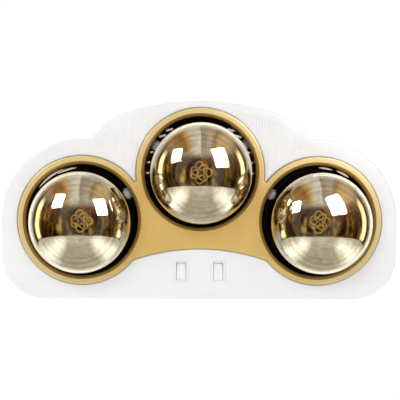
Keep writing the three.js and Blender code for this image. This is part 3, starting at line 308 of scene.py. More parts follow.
# The lead glass of the lamp stem: clear, with a faint green body and soft blown ripples
STEM_FINISH = one_pattern(
    "clear_stem_glass", (4, 4, 4), 2.0, ((0.3, "#8E8F80"), (0.7, "#C9CBBE")),
    (0.03, 0.12), 0.1, **{"IOR": 1.5, "Alpha": 0.2, "Coat Weight": 0.5})
ZINC_FINISH = bare_metal("zinc_plated_steel", "#9EA2A6", "#CACDD0", 0.5, 0.25, 0.45)
BRASS_FINISH = bare_metal("drawn_brass", "#A98845", "#D3B36A", 0.6, 0.2, 0.4)
TUNGSTEN_FINISH = bare_metal("drawn_tungsten", "#FFD060", "#FFF2B0", 0.2, 0.15, 0.35, metallic=0.2)
PORCELAIN_FINISH = glazed_porcelain("glazed_porcelain", "#D9D3C4", "#F3F0E7", 1.5)
# White enamel on the centre cup's louvre blades; on the side cups' arcs the white is a painted reflection of
# the softboxes.
BLADE_AND_REFLECTION_FINISH = glazed_porcelain("white_enamel_and_painted_reflection", "#F0F0F3", "#FCFCFD", 3)
BUSHING_FINISH = glazed_porcelain("lilac_grey_steatite", "#A29EB0", "#DCD9E4", 2.2)
RUBBER_FINISH = moulded_rubber("black_epdm_rubber", "#161616", "#262626", 5)
SHEATH_FINISH = moulded_rubber("silicone_rubber_sheath", "#6E2A20", "#93402F", 3)
PAN_FINISH = powder_coat()


# Mesh code

def add_object(name, data):
    made = bpy.data.objects.new(name, data)
    bpy.context.scene.collection.objects.link(made)
    return made


def as_mesh(bm, name):
    mesh = bpy.data.meshes.new(name)
    bm.to_mesh(mesh)
    bm.free()
    return mesh


def weld(bm):
    """Joins vertices that meet and turns all faces outwards."""
    bmesh.ops.remove_doubles(bm, verts=bm.verts, dist=WELD_DISTANCE)
    bmesh.ops.recalc_face_normals(bm, faces=bm.faces)


def finished(name, bm, materials, body="heater", sharp=35):
    """Makes a piece of a bmesh in millimetres: outward normals, smooth faces, sharp edges kept."""
    weld(bm)
    bmesh.ops.scale(bm, verts=bm.verts, vec=(MM, MM, MM))
    limit = math.radians(sharp)
    for edge in bm.edges:
        edge.smooth = len(edge.link_faces) == 2 and edge.calc_face_angle(0) < limit
    for face in bm.faces:
        face.smooth = True
    piece = add_object(name, as_mesh(bm, name))
    for material in materials:
        piece.data.materials.append(material)
    if body:
        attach(piece, body)
    return piece


def blank_of(bm):
    """A bmesh as an unshown object that a boolean can use."""
    weld(bm)
    return add_object("blank", as_mesh(bm, "blank"))


def carved(blank, *cutters):
    """Cuts objects out of a blank and returns the result as a bmesh; all of them are then removed."""
    for cutter in cutters:
        cut = blank.modifiers.new("cut", "BOOLEAN")
        cut.operation = "DIFFERENCE"
        cut.solver = "EXACT"
        cut.object = cutter
    depsgraph = bpy.context.evaluated_depsgraph_get()
    result = bpy.data.meshes.new_from_object(blank.evaluated_get(depsgraph))
    bm = bmesh.new()
    bm.from_mesh(result)
    for used in (blank, *cutters):
        bpy.data.objects.remove(used)
    return bm


def bridge(bm, first, second, slot=0):
    """Faces between two closed rows of vertices."""
    count = len(first)
    for at in range(count):
        after = (at + 1) % count
        corners = [first[at], first[after], second[after], second[at]]
        kept = [v for i, v in enumerate(corners) if v not in corners[:i]]
        if len(kept) > 2:
            bm.faces.new(kept).material_index = slot


def skin(bm, rows):
    """Joins closed rows of vertices, each to the next, and caps both ends."""
    for first, second in zip(rows, rows[1:]):
        bridge(bm, first, second)
    bm.faces.new(rows[0])
    bm.faces.new(rows[-1])


def about_axis(x, z, radius, angle, depth):
    """The point at a radius and an angle from a lamp's axis."""
    return x + radius * math.cos(angle), -depth, z + radius * math.sin(angle)


def lathe(bm, profile, x, z, steps=LATHE_STEPS, slots=None):
    """Turns a profile of (radius, depth) points about a lamp's own axis."""
    rows = []
    for radius, depth in profile:
        if radius == 0:
            rows.append([bm.verts.new((x, -depth, z))] * steps)
            continue
        angles = (FULL_TURN * step / steps for step in range(steps))
        rows.append([bm.verts.new(about_axis(x, z, radius, angle, depth)) for angle in angles])
    for at, (first, second) in enumerate(zip(rows, rows[1:])):
        bridge(bm, first, second, slots[at] if slots else 0)


def turned(profile, x, z):
    bm = bmesh.new()
    lathe(bm, profile, x, z)
    return blank_of(bm)


def loft(rings):
    """Skins rings of (x, z) points, each with its depth."""
    bm = bmesh.new()
    skin(bm, [[bm.verts.new((x, -depth, z)) for x, z in points] for points, depth in rings])
    return blank_of(bm)


def block(low, high, place=Matrix()):
    """A box between two corners given as (x, depth, z), then moved by a matrix."""
    bm = bmesh.new()
    bmesh.ops.create_cube(bm, size=1)
    x, depth, z = [(a + b) / 2 for a, b in zip(low, high)]
    bmesh.ops.scale(bm, verts=bm.verts, vec=[b - a for a, b in zip(low, high)])
    bmesh.ops.translate(bm, verts=bm.verts, vec=(x, -depth, z))
    bmesh.ops.transform(bm, matrix=place, verts=bm.verts)
    return blank_of(bm)


def quarter_round(steps):
    """Shares of a quarter circle from side to front: how far drawn in, and how far behind the front."""
    for step in range(steps + 1):
        angle = QUARTER_TURN * step / steps
        yield 1 - math.cos(angle), 1 - math.sin(angle)


def rounded_front(outline, inset, draft, back, front, radius, steps=EDGE_STEPS):
    """An outline as a block whose front edge is drawn in a little and rounded."""
    rings = [(outline(inset), back)]
    for drawn_in, behind in quarter_round(steps):
        rings.append((outline(inset + draft + radius * drawn_in), front - radius * behind))
    return loft(rings)


def add_with_mirror(bm, mesh, x):
    """Adds a mesh and its mirror image across the upright plane at x."""
    bm.from_mesh(mesh)
    for vertex in mesh.vertices:
        vertex.co.x = 2 * x - vertex.co.x
    bm.from_mesh(mesh)


# Geometry nodes

def new_rule(name, lengths, counts=()):
    """A geometry-nodes tree with a named input for every length and count and for the material."""
    tree = bpy.data.node_groups.new(name, "GeometryNodeTree")
    kinds = {**dict.fromkeys(lengths, "Float"), **dict.fromkeys(counts, "Int"), "Material": "Material"}
    for label, kind in kinds.items():
        tree.interface.new_socket(label, in_out="INPUT", socket_type=f"NodeSocket{kind}")
    tree.interface.new_socket("Geometry", in_out="OUTPUT", socket_type="NodeSocketGeometry")
    return tree, add_node(tree, "NodeGroupInput").outputs


def end_rule(tree, geometry, material):
    real = add_node(tree, "GeometryNodeRealizeInstances", {"Geometry": geometry})
    painted = add_node(tree, "GeometryNodeSetMaterial", {"Geometry": real, "Material": material})
    add_node(tree, "NodeGroupOutput", {"Geometry": painted})
    return tree


def grown(tree, values, material):
    """Runs a geometry-nodes tree and returns its result as a plain mesh."""
    seed = add_object(tree.name, bpy.data.meshes.new(tree.name))
    modifier = seed.modifiers.new("rule", "NODES")
    modifier.node_group = tree
    for item in tree.interface.items_tree:
        if item.in_out == "INPUT":
            modifier[item.identifier] = material if item.name == "Material" else values[item.name]
    depsgraph = bpy.context.evaluated_depsgraph_get()
    made = bpy.data.meshes.new_from_object(seed.evaluated_get(depsgraph))
    seed.modifiers.remove(modifier)
    bpy.data.objects.remove(seed)
    return made


# Plane geometry of the outlines, in (x, z)

def arc(centre, radius, start, end, steps):
    points = []
    for step in range(steps + 1):
        angle = start + (end - start) * step / steps
        points.append(centre + radius * Vector((math.cos(angle), math.sin(angle))))
    return points


def heading(start, end):
    return math.atan2(end.y - start.y, end.x - start.x)


def crossing(first, first_radius, second, second_radius):
    """Where two circles cross, on the left of the way from the first centre to the second."""
    way = second - first
    along = (way.length_squared + first_radius ** 2 - second_radius ** 2) / (2 * way.length)
    beside = math.sqrt(first_radius ** 2 - along ** 2)
    way.normalize()
    return first + way * along + Vector((-way.y, way.x)) * beside


def mirrored(right_half):
    return right_half + [Vector((-p.x, p.y)) for p in reversed(right_half) if abs(p.x) > SEAT_GAP]


# White cover

CORNER_RADIUS = 51
CROWN_RADIUS = 286
CROWN_HALF_WIDTH = 84
FLANK_RADIUS = 87.5
SHOULDER_LIFT = 1.7
SHOULDER_RADIUS = COVER_HALF_WIDTH - SIDE_LAMP.x
CORNER_STEPS, SHOULDER_STEPS, FLANK_STEPS, CROWN_STEPS = 20, 44, 28, 24
COVER_WALL = 2.5
COVER_EDGE_RADIUS = 2.2
COVER_DRAFT = 1
LAMP_HOLE_RADIUS = 68.5
SWITCH_HOLE_HALF_WIDTH = 7
SWITCH_HOLE_HALF_HEIGHT = 12.1
BEZEL_POCKET_DEPTH = 2
BEZEL_POCKET_GAP = 0.8

CORNER_CENTRE = Vector((COVER_HALF_WIDTH - CORNER_RADIUS, COVER_BOTTOM + CORNER_RADIUS))
SHOULDER_CENTRE = SIDE_LAMP + Vector((0, SHOULDER_LIFT))
CROWN_CENTRE = Vector((0, COVER_TOP - CROWN_RADIUS))
CROWN_END = math.acos(CROWN_HALF_WIDTH / CROWN_RADIUS)
FLANK_WAY = Vector((math.cos(CROWN_END), math.sin(CROWN_END)))
FLANK_CENTRE = CROWN_CENTRE + (CROWN_RADIUS - FLANK_RADIUS) * FLANK_WAY

PANEL_TOP_MARGIN = 10
PANEL_OUTER_X = 119.5
PANEL_RECESS = 0.8
PANEL_CLEARANCE = 0.1
PANEL_CROWN_END = (CROWN_RADIUS - PANEL_TOP_MARGIN) * math.cos(CROWN_END)
PANEL_CIRCLES = {
    "Crown": (CROWN_CENTRE, CROWN_RADIUS - PANEL_TOP_MARGIN),
    "Flank": (FLANK_CENTRE, FLANK_RADIUS - PANEL_TOP_MARGIN),
    "Side Lamp": (SIDE_LAMP, 84),
    "Centre Lamp": (CENTRE_LAMP, 78),
}
FLUTE_PITCH = 3.6
FLUTE_WIDTH = 2.2
FLUTE_DEPTH = 1.5
FLUTE_END_MARGIN = 0.8
SHORTEST_FLUTE = 4
FLUTE_STEPS = 16
FLUTE_EDGE_STEPS = 4
FLUTE_ROWS = 41


def cover_outline(inset):
    shoulder = SHOULDER_RADIUS - inset
    flank = FLANK_RADIUS - inset
    valley = crossing(FLANK_CENTRE, flank, SHOULDER_CENTRE, shoulder)
    return mirrored([
        *arc(CORNER_CENTRE, CORNER_RADIUS - inset, -QUARTER_TURN, 0, CORNER_STEPS),
        *arc(SHOULDER_CENTRE, shoulder, 0, heading(SHOULDER_CENTRE, valley), SHOULDER_STEPS),
        *arc(FLANK_CENTRE, flank, heading(FLANK_CENTRE, valley), CROWN_END, FLANK_STEPS)[1:],
        *arc(CROWN_CENTRE, CROWN_RADIUS - inset, CROWN_END, QUARTER_TURN, CROWN_STEPS)[1:],
    ])


def circle_top(name, x):
    centre, radius = PANEL_CIRCLES[name]
    return centre.y + math.sqrt(max(radius ** 2 - (x - centre.x) ** 2, 0))


def panel_top(x):
    return circle_top("Crown" if x < PANEL_CROWN_END else "Flank", x)


def panel_bottom(x):
    return max(circle_top("Side Lamp", x), circle_top("Centre Lamp", x))


def flutes_that_fit():
    """A whole number of flutes, from the panel's outer end in to where it gets too low for one."""
    count = 0
    x = PANEL_OUTER_X - FLUTE_PITCH
    while panel_top(x) - panel_bottom(x) >= SHORTEST_FLUTE:
        count += 1
        x = PANEL_OUTER_X - (count + 1) * FLUTE_PITCH
    return count


FLUTE_COUNT = flutes_that_fit()
PANEL_INNER_X = PANEL_OUTER_X - FLUTE_COUNT * FLUTE_PITCH


def panel_outline():
    """Outline of the right-hand panel, drawn as finely as the panel itself."""
    steps = FLUTE_EDGE_STEPS * FLUTE_COUNT
    stations = [PANEL_OUTER_X + (PANEL_INNER_X - PANEL_OUTER_X) * at / steps for at in range(steps + 1)]
    upper = [Vector((x, panel_top(x))) for x in stations]
    lower = [Vector((x, panel_bottom(x))) for x in stations]
    return upper + lower[::-1]


def fluted_panel():
    """Geometry nodes: a grid bent to the panel's arcs, with blind rounded flutes pressed in."""
    sizes = {
        "Inner X": PANEL_INNER_X, "Outer X": PANEL_OUTER_X, "Pitch": FLUTE_PITCH,
        "Width": FLUTE_WIDTH, "Depth": FLUTE_DEPTH, "End Margin": FLUTE_END_MARGIN,
        "Surface": COVER_FRONT - PANEL_RECESS, "Crown End": PANEL_CROWN_END,
    }
    for name, (centre, radius) in PANEL_CIRCLES.items():
        sizes.update({f"{name} X": centre.x, f"{name} Z": centre.y, f"{name} Radius": radius})
    tree, given = new_rule("fluted_panel", sizes)
    grid = add_node(tree, "GeometryNodeMeshGrid", {
        "Size X": 1.0, "Size Y": 1.0,
        "Vertices X": FLUTE_STEPS * FLUTE_COUNT + 1, "Vertices Y": FLUTE_ROWS,
    })
    place = add_node(tree, "ShaderNodeSeparateXYZ", {"Vector": add_node(tree, "GeometryNodeInputPosition")})
    x = add_node(tree, "ShaderNodeMapRange", {
        "Value": place, "From Min": -0.5, "From Max": 0.5,
        "To Min": given["Inner X"], "To Max": given["Outer X"],
    })
    heights = {}
    for name in PANEL_CIRCLES:
        radius = given[f"{name} Radius"]
        across = add_node(tree, "ShaderNodeMath", {0: x, 1: given[f"{name} X"]}, operation="SUBTRACT")
        square = add_node(tree, "ShaderNodeMath", {0: across, 1: across}, operation="MULTIPLY")
        height = radius
        for operation, other in (
            ("MULTIPLY", radius), ("SUBTRACT", square), ("MAXIMUM", 0.0), ("SQRT", 0.0),
            ("ADD", given[f"{name} Z"]),
        ):
            height = add_node(tree, "ShaderNodeMath", {0: height, 1: other}, operation=operation)
        heights[name] = height
    beyond = add_node(tree, "ShaderNodeMath", {0: x, 1: given["Crown End"]}, operation="GREATER_THAN")
    top = add_node(tree, "ShaderNodeMix", {
        "Factor": beyond, "A": heights["Crown"], "B": heights["Flank"],
    }, data_type="FLOAT")
    bottom = add_node(tree, "ShaderNodeMath", {
        0: heights["Side Lamp"], 1: heights["Centre Lamp"],
    }, operation="MAXIMUM")
    z = add_node(tree, "ShaderNodeMapRange", {
        "Value": place.outputs["Y"], "From Min": -0.5, "From Max": 0.5, "To Min": bottom, "To Max": top,
    })

    sideways = x
    for operation, other in (
        ("SUBTRACT", given["Inner X"]), ("DIVIDE", given["Pitch"]), ("FRACT", 0.0), ("SUBTRACT", 0.5),
        ("ABSOLUTE", 0.0), ("MULTIPLY", given["Pitch"]),
    ):
        sideways = add_node(tree, "ShaderNodeMath", {0: sideways, 1: other}, operation=operation)
    lower_gap = add_node(tree, "ShaderNodeMath", {0: z, 1: bottom}, operation="SUBTRACT")
    upper_gap = add_node(tree, "ShaderNodeMath", {0: top, 1: z}, operation="SUBTRACT")
    nearest = add_node(tree, "ShaderNodeMath", {0: lower_gap, 1: upper_gap}, operation="MINIMUM")
    half = add_node(tree, "ShaderNodeMath", {0: given["Width"], 1: 0.5}, operation="MULTIPLY")
    end_line = add_node(tree, "ShaderNodeMath", {0: half, 1: given["End Margin"]}, operation="ADD")
    past_end = add_node(tree, "ShaderNodeMath", {0: end_line, 1: nearest}, operation="SUBTRACT")
    lengthways = add_node(tree, "ShaderNodeMath", {0: past_end, 1: 0.0}, operation="MAXIMUM")
    spot = add_node(tree, "ShaderNodeCombineXYZ", {"X": sideways, "Y": lengthways})
    off_line = add_node(tree, "ShaderNodeVectorMath", {0: spot}, operation="LENGTH")
    sunk = add_node(tree, "ShaderNodeMapRange", {
        "Value": off_line, "From Min": 0.0, "From Max": half, "To Min": given["Depth"], "To Max": 0.0,
    }, interpolation_type="SMOOTHSTEP")
    depth = add_node(tree, "ShaderNodeMath", {0: given["Surface"], 1: sunk}, operation="SUBTRACT")
    into_room = add_node(tree, "ShaderNodeMath", {0: depth, 1: -1.0}, operation="MULTIPLY")
    target = add_node(tree, "ShaderNodeCombineXYZ", {"X": x, "Y": into_room, "Z": z})
    bent = add_node(tree, "GeometryNodeSetPosition", {"Geometry": grid, "Position": target})
    thick = add_node(tree, "GeometryNodeExtrudeMesh", {
        "Mesh": bent, "Offset": (0.0, 1.0, 0.0), "Offset Scale": 1.0, "Individual": False,
    })
    back_side = add_node(tree, "GeometryNodeFlipFaces", {"Mesh": bent})
    both = add_node(tree, "GeometryNodeJoinGeometry", {"Geometry": thick})
    tree.links.new(back_side.outputs["Mesh"], both.inputs["Geometry"])
    return grown(end_rule(tree, both, given["Material"]), sizes, COVER_FINISH)


def build_cover():
    """White cover: rounded shell with lamp and switch openings and two fluted panels."""
    back = COVER_FRONT - COVER_WALL - OVERRUN
    front = COVER_FRONT + OVERRUN
    outside = rounded_front(
        cover_outline, 0, COVER_DRAFT, COVER_SKIRT, COVER_FRONT, COVER_EDGE_RADIUS)
    cutters = [rounded_front(
        cover_outline, COVER_WALL, COVER_DRAFT, COVER_SKIRT - OVERRUN, COVER_FRONT - COVER_WALL,
        COVER_EDGE_RADIUS - COVER_WALL + OVERRUN)]
    for x, z in LAMP_AXES.values():
        hole = [(0, back), (LAMP_HOLE_RADIUS, back), (LAMP_HOLE_RADIUS, front), (0, front)]
        cutters.append(turned(hole, x, z))
    for side in ("left", "right"):
        x, z = centre_of(f"switch_body_{side}")
        cutters.append(block((x - SWITCH_HOLE_HALF_WIDTH, back, z - SWITCH_HOLE_HALF_HEIGHT),
                             (x + SWITCH_HOLE_HALF_WIDTH, front, z + SWITCH_HOLE_HALF_HEIGHT)))
    pocket_floor = COVER_FRONT - BEZEL_POCKET_DEPTH
    panel_floor = COVER_FRONT - PANEL_RECESS - FLUTE_DEPTH - PANEL_CLEARANCE
    right_panel = panel_outline()
    left_panel = [Vector((-p.x, p.y)) for p in right_panel]
    for outline, floor in ((bezel_outline(-BEZEL_POCKET_GAP), pocket_floor),
                           (right_panel, panel_floor), (left_panel, panel_floor)):
        cutters.append(loft([(outline, floor), (outline, front)]))
    bm = carved(outside, *cutters)
    add_with_mirror(bm, fluted_panel(), 0)
    cover = finished("front_cover_shell", bm, [COVER_FINISH], sharp=28)
    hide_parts("front_cover")


# Gold bezel

RING_RADIUS = 75
OPENING_RADIUS = 67.5
CUSP_RADIUS = 1.5
JOIN_RADIUS = 6
WEB_DEPTH = 14.1
ARCH_RADIUS = 230
ARCH_CENTRE = Vector((0, CENTRE_LAMP.y - RING_RADIUS - WEB_DEPTH - ARCH_RADIUS))
ARCH_STEPS, JOIN_STEPS, RING_STEPS, CUSP_STEPS, BROW_STEPS = 16, 8, 110, 8, 40
BEZEL_MARGIN = 0.05
BEZEL_CLEARANCE = 0.2
BEZEL_BACK = COVER_FRONT - BEZEL_POCKET_DEPTH + BEZEL_CLEARANCE
BEZEL_EDGE_RADIUS = 1.3
BEZEL_EDGE_DRAFT = 0.2
BEZEL_LIP_RADIUS = 64.6
BEZEL_FACE_RADIUS = 68.1
BEZEL_LIP_DEPTH = 3.4
BEZEL_LIP_STEPS = 6
LIP_CROWN = 0.3
BEZEL_RIM_TURN = 0.8
BEZEL_SLEEVE = 1


def bezel_outline(inset):
    ring = RING_RADIUS - inset
    to_cusp = RING_RADIUS + CUSP_RADIUS
    cusp = crossing(CENTRE_LAMP, to_cusp, SIDE_LAMP, to_cusp)
    join = crossing(ARCH_CENTRE, ARCH_RADIUS - JOIN_RADIUS, SIDE_LAMP, RING_RADIUS + JOIN_RADIUS)
    arch_end = heading(ARCH_CENTRE, join)
    side_end = heading(SIDE_LAMP, cusp)
    top_start = heading(CENTRE_LAMP, cusp)
    return mirrored([
        *arc(ARCH_CENTRE, ARCH_RADIUS + inset, QUARTER_TURN, arch_end, ARCH_STEPS),
        *arc(join, JOIN_RADIUS + inset, arch_end, heading(join, SIDE_LAMP), JOIN_STEPS)[1:],
        *arc(SIDE_LAMP, ring, heading(SIDE_LAMP, join), side_end, RING_STEPS)[1:],
        *arc(cusp, CUSP_RADIUS + inset, heading(cusp, SIDE_LAMP), top_start - math.pi, CUSP_STEPS)[1:],
        *arc(CENTRE_LAMP, ring, top_start, QUARTER_TURN, BROW_STEPS)[1:],
    ])


def build_bezel():
    """Gold bezel: one moulding with a rounded outer edge and a bevelled lip round each opening. The lip and
    the steep outer rim take a darker bronze: painted shade where these faces turn from the front.
    """
    blank = rounded_front(
        bezel_outline, BEZEL_MARGIN, BEZEL_EDGE_DRAFT, BEZEL_BACK, BEZEL_FRONT, BEZEL_EDGE_RADIUS)
    behind, before = BEZEL_BACK - OVERRUN, BEZEL_FRONT + OVERRUN
    lip = [(0, behind), (BEZEL_LIP_RADIUS, behind)]
    for drawn_in, sunk in quarter_round(BEZEL_LIP_STEPS):
        lip.append((
            BEZEL_LIP_RADIUS + (BEZEL_FACE_RADIUS - BEZEL_LIP_RADIUS) * drawn_in,
            BEZEL_FRONT - (BEZEL_LIP_DEPTH - LIP_CROWN) * sunk - LIP_CROWN,
        ))
    face_edge = BEZEL_FACE_RADIUS + LIP_CROWN
    lip += [(face_edge, BEZEL_FRONT), (face_edge, before), (0, before)]
    bm = carved(blank, *[turned(lip, x, z) for x, z in LAMP_AXES.values()])
    seat, sleeve_end = BEZEL_BACK + SEAT_OVERLAP, BEZEL_BACK - BEZEL_SLEEVE
    sleeve_radius = LAMP_HOLE_RADIUS - SEAT_GAP
    for x, z in LAMP_AXES.values():
        lathe(bm, [
            (OPENING_RADIUS, seat), (sleeve_radius, seat), (sleeve_radius, sleeve_end),
            (OPENING_RADIUS, sleeve_end), (OPENING_RADIUS, seat),
        ], x, z)
    bm.normal_update()
    # Faces on the lip, or turned well away from the front, take the bronze: painted shade.
    for face in bm.faces:
        middle = face.calc_center_median()
        nearest = min(math.hypot(middle.x - x, middle.z - z) for x, z in LAMP_AXES.values())
        on_lip = nearest < BEZEL_FACE_RADIUS and -middle.y < BEZEL_FRONT - LIP_CROWN / 2
        face.material_index = int(on_lip or abs(face.normal.y) < BEZEL_RIM_TURN)
    bezel = finished("bezel_moulding", bm, [BEZEL_FINISH, LIP_AND_RIM_SHADE_FINISH], sharp=40)
    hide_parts("gold_bezel")


# Rocker switches, drawn about the rocker's pivot

SWITCH_FLANGE = 1.5
SWITCH_FLANGE_ROUND = 0.5
SWITCH_FLANGE_STEPS = 4
SWITCH_CORNER = 1.6
SWITCH_CORNER_STEPS = 6
SWITCH_BODY_HALF = 11.9
SWITCH_BODY_WALL = 1
SWITCH_TOP_GAP = 0.8
SWITCH_NOTCH_START = 8
ROCKER_PIVOT = 5.3
ROCKER_HALF_WIDTH = 5.4
ROCKER_REACH = 10.7
ROCKER_GAP = 0.3
ROCKER_SIDE_GAP = 0.35
ROCKER_DRUM_STEPS = 96
ROCKER_END_ANGLE = math.radians(21)
ROCKER_END_STEPS = 6
ROCKER_TILT = math.radians(12)
ROCKER_DISH = 0.35
ROCKER_DISH_STEPS = 8
ROCKER_KEEL = (2.4, -5)
ROCKER_EDGE = 0.35
ROCKER_EDGE_STEPS = 3
ROCKER_SHARPEST = math.radians(30)


def drum(x, pivot, z, half_width):
    """The room that a rocker's ends sweep as it tips."""
    bm = bmesh.new()
    reach = ROCKER_REACH + ROCKER_GAP
    bmesh.ops.create_cone(
        bm, cap_ends=True, segments=ROCKER_DRUM_STEPS, radius1=reach, radius2=reach, depth=2 * half_width)
    bmesh.ops.rotate(bm, verts=bm.verts, matrix=Matrix.Rotation(QUARTER_TURN, 3, "Y"))
    bmesh.ops.translate(bm, verts=bm.verts, vec=(x, -pivot, z))
    return blank_of(bm)


def build_switch_body(side):
    """Switch frame and housing: rounded flange, and a cavity curved round the rocker's ends. The housing
    under the flange is black: painted shade, so that the cavity shows as dark lines round the rocker.
    """
    x, z = centre_of(f"switch_body_{side}")
    left, right, back, front, bottom, top = extent(f"switch_body_{side}")
    pivot = front - ROCKER_PIVOT
    flange_back = front - SWITCH_FLANGE
    half_gap = ROCKER_HALF_WIDTH + ROCKER_SIDE_GAP

    def flange(inset):
        points = []
        for turn, (sx, sz) in enumerate(((1, -1), (1, 1), (-1, 1), (-1, -1))):
            centre = Vector((x + sx * ((right - left) / 2 - SWITCH_CORNER),
                             z + sz * ((top - bottom) / 2 - SWITCH_CORNER)))
            start = QUARTER_TURN * (turn - 1)
            points += arc(
                centre, SWITCH_CORNER - inset, start, start + QUARTER_TURN, SWITCH_CORNER_STEPS)
        return points

    notch = block((x - half_gap, flange_back - OVERRUN, z + SWITCH_NOTCH_START),
                  (x + half_gap, front + OVERRUN, z + ROCKER_REACH - ROCKER_GAP + SWITCH_TOP_GAP / 2))
    bm = carved(
        rounded_front(flange, 0, 0, flange_back, front, SWITCH_FLANGE_ROUND, SWITCH_FLANGE_STEPS),
        drum(x, pivot, z, half_gap), notch)
    half_body = half_gap + SWITCH_BODY_WALL
    housing = carved(block((x - half_body, back, z - SWITCH_BODY_HALF),
                           (x + half_body, flange_back, z + SWITCH_BODY_HALF)),
                     drum(x, pivot, z, half_gap))
    # Every housing face takes the black: painted shade in the cavity round the rocker.
    for face in housing.faces:
        face.material_index = 1
    bm.from_mesh(as_mesh(housing, "housing"))
    body = finished(f"switch_frame_{side}", bm, [COVER_FINISH, CAVITY_SHADE_FINISH])
    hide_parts(f"switch_body_{side}")


def rocker_section():
    """A level rocker's section, across and out from its pivot: dished face, round ends, keel."""
    half_face = ROCKER_REACH * math.cos(ROCKER_END_ANGLE)
    low_end = ROCKER_REACH * math.sin(ROCKER_END_ANGLE)
    face = []
    for step in range(ROCKER_DISH_STEPS + 1):
        across = 1 - 2 * step / ROCKER_DISH_STEPS
        face.append((half_face * across, low_end - ROCKER_DISH * (1 - across ** 2)))
    end = []
    for step in range(1, ROCKER_END_STEPS + 1):
        angle = math.pi - ROCKER_END_ANGLE + 2 * ROCKER_END_ANGLE * step / ROCKER_END_STEPS
        end.append((ROCKER_REACH * math.cos(angle), ROCKER_REACH * math.sin(angle)))
    half_keel, keel_end = ROCKER_KEEL
    keel = [(-half_keel, -low_end), (-half_keel, keel_end), (half_keel, keel_end), (half_keel, -low_end)]
    return face + end + keel + [(-across, out) for across, out in reversed(end)]


def build_rocker(side):
    """Rocker: a gently dished face and ends curved round its pivot, pressed at the top."""
    x, z = centre_of(f"switch_body_{side}")
    pivot = extent(f"switch_body_{side}")[3] - ROCKER_PIVOT
    cosine, sine = math.cos(ROCKER_TILT), math.sin(ROCKER_TILT)
    bm = bmesh.new()
    skin(bm, [[
        bm.verts.new((edge, across * sine - out * cosine - pivot, z + across * cosine + out * sine))
        for across, out in rocker_section()
    ] for edge in (x - ROCKER_HALF_WIDTH, x + ROCKER_HALF_WIDTH)])
    bmesh.ops.recalc_face_normals(bm, faces=bm.faces)
    edges = [edge for edge in bm.edges if edge.calc_face_angle(0) > ROCKER_SHARPEST]
    bmesh.ops.bevel(
        bm, geom=edges, offset=ROCKER_EDGE, segments=ROCKER_EDGE_STEPS, profile=0.5, affect="EDGES")
    rocker = finished(f"rocker_button_{side}", bm, [SWITCH_FINISH], body=f"rocker_{side}")
    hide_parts(f"rocker_{side}")


# Black cups. Angles are in degrees, from the right over the top.

CUP_WALL = 1
CUP_MOUTH_RADIUS = 66.8
CUP_BACK_RADIUS = 59
CUP_FLOOR_RADIUS = 54
CUP_FLOOR_RISE = 5
CUP_HOLE_RADIUS = 20.8
CUP_CORNER = ((0.2, 5), (1.2, 2.4), (3, 0.8), (6, 0))
SLOT_COUNT = 6
SLOT_PITCH = 10.7
SLOT_MIDDLE_ANGLE = 25
SLOT_WIDTH = 3
SLOT_BACK = 53
SLOT_FRONT = 66
LOUVRE_MIDDLE = 70
LOUVRE_SIZES = {"Height": 2.1, "Depth": 7, "Droop": 16, "Middle": LOUVRE_MIDDLE}
LOUVRE_ROWS = (
    {"Count": 3, "First Angle": -1.5, "Pitch": 11.7, "Length": 3.4, "Spoke": 61},
    {"Count": 2, "First Angle": 43.5, "Pitch": 10.3, "Length": 8.2, "Spoke": 60.8},
)
CARRIER_THICKNESS = 1
CARRIER_RADIUS = 58.5
CARRIER_ANGLES = ((-6, 28), (40, 58), (152, 186), (122, 140))
# White arcs in the side cups, painted reflection of the softboxes: radius, front depth, start and end angles.
REFLECTION_ARCS = {
    "left": ((60.6, 78, 97, 119), (62.4, 83, 111, 143)),
    "right": ((62.6, 83, 54, 69), (61.8, 79, 73, 88)),
}
CURVED_BLADE_WIDTH = 2.2
CURVED_BLADE_DEPTH = 4
CURVED_BLADE_GRIP = 0.4
BLADE_TIP_SHARE = 0.08
BLADE_TAPER = 0.6
SECTOR_STEPS = 24
PORT_ANGLES = {"left": [30], "centre": [30, 150], "right": [150]}
PORT_DEPTH = 62
BUSHING_SIZE = (5.2, 8, 7)
BUSHING_ROUNDING = 3


def cup_wall_radius(depth):
    start = CUP_FLOOR + CUP_FLOOR_RISE + CUP_WALL
    share = (depth - start) / (CUP_FRONT - start)
    return CUP_BACK_RADIUS + (CUP_MOUTH_RADIUS - CUP_BACK_RADIUS) * share


def cup_profile():
    """Closed section of a cup: out along the back, in along the black side that shows."""
    inner_floor = CUP_FLOOR + CUP_WALL
    return [
        (CUP_HOLE_RADIUS, CUP_FLOOR),
        (CUP_FLOOR_RADIUS, CUP_FLOOR),
        (CUP_BACK_RADIUS + CUP_WALL, CUP_FLOOR + CUP_FLOOR_RISE),
        (CUP_MOUTH_RADIUS + CUP_WALL, CUP_FRONT - CUP_WALL),
        (CUP_FLANGE_RADIUS, CUP_FRONT - CUP_WALL),
        (CUP_FLANGE_RADIUS, CUP_FRONT),
        (CUP_MOUTH_RADIUS, CUP_FRONT),
        *[(CUP_BACK_RADIUS - inwards, inner_floor + rise) for inwards, rise in CUP_CORNER],
        (CUP_HOLE_RADIUS, inner_floor),
        (CUP_HOLE_RADIUS, CUP_FLOOR),
    ]


def on_spoke(x, z, angle, depth=0):
    """A matrix that turns a thing to a lamp's spoke at an angle in degrees."""
    return Matrix.Translation((x, -depth, z)) @ Matrix.Rotation(-math.radians(angle), 4, "Y")


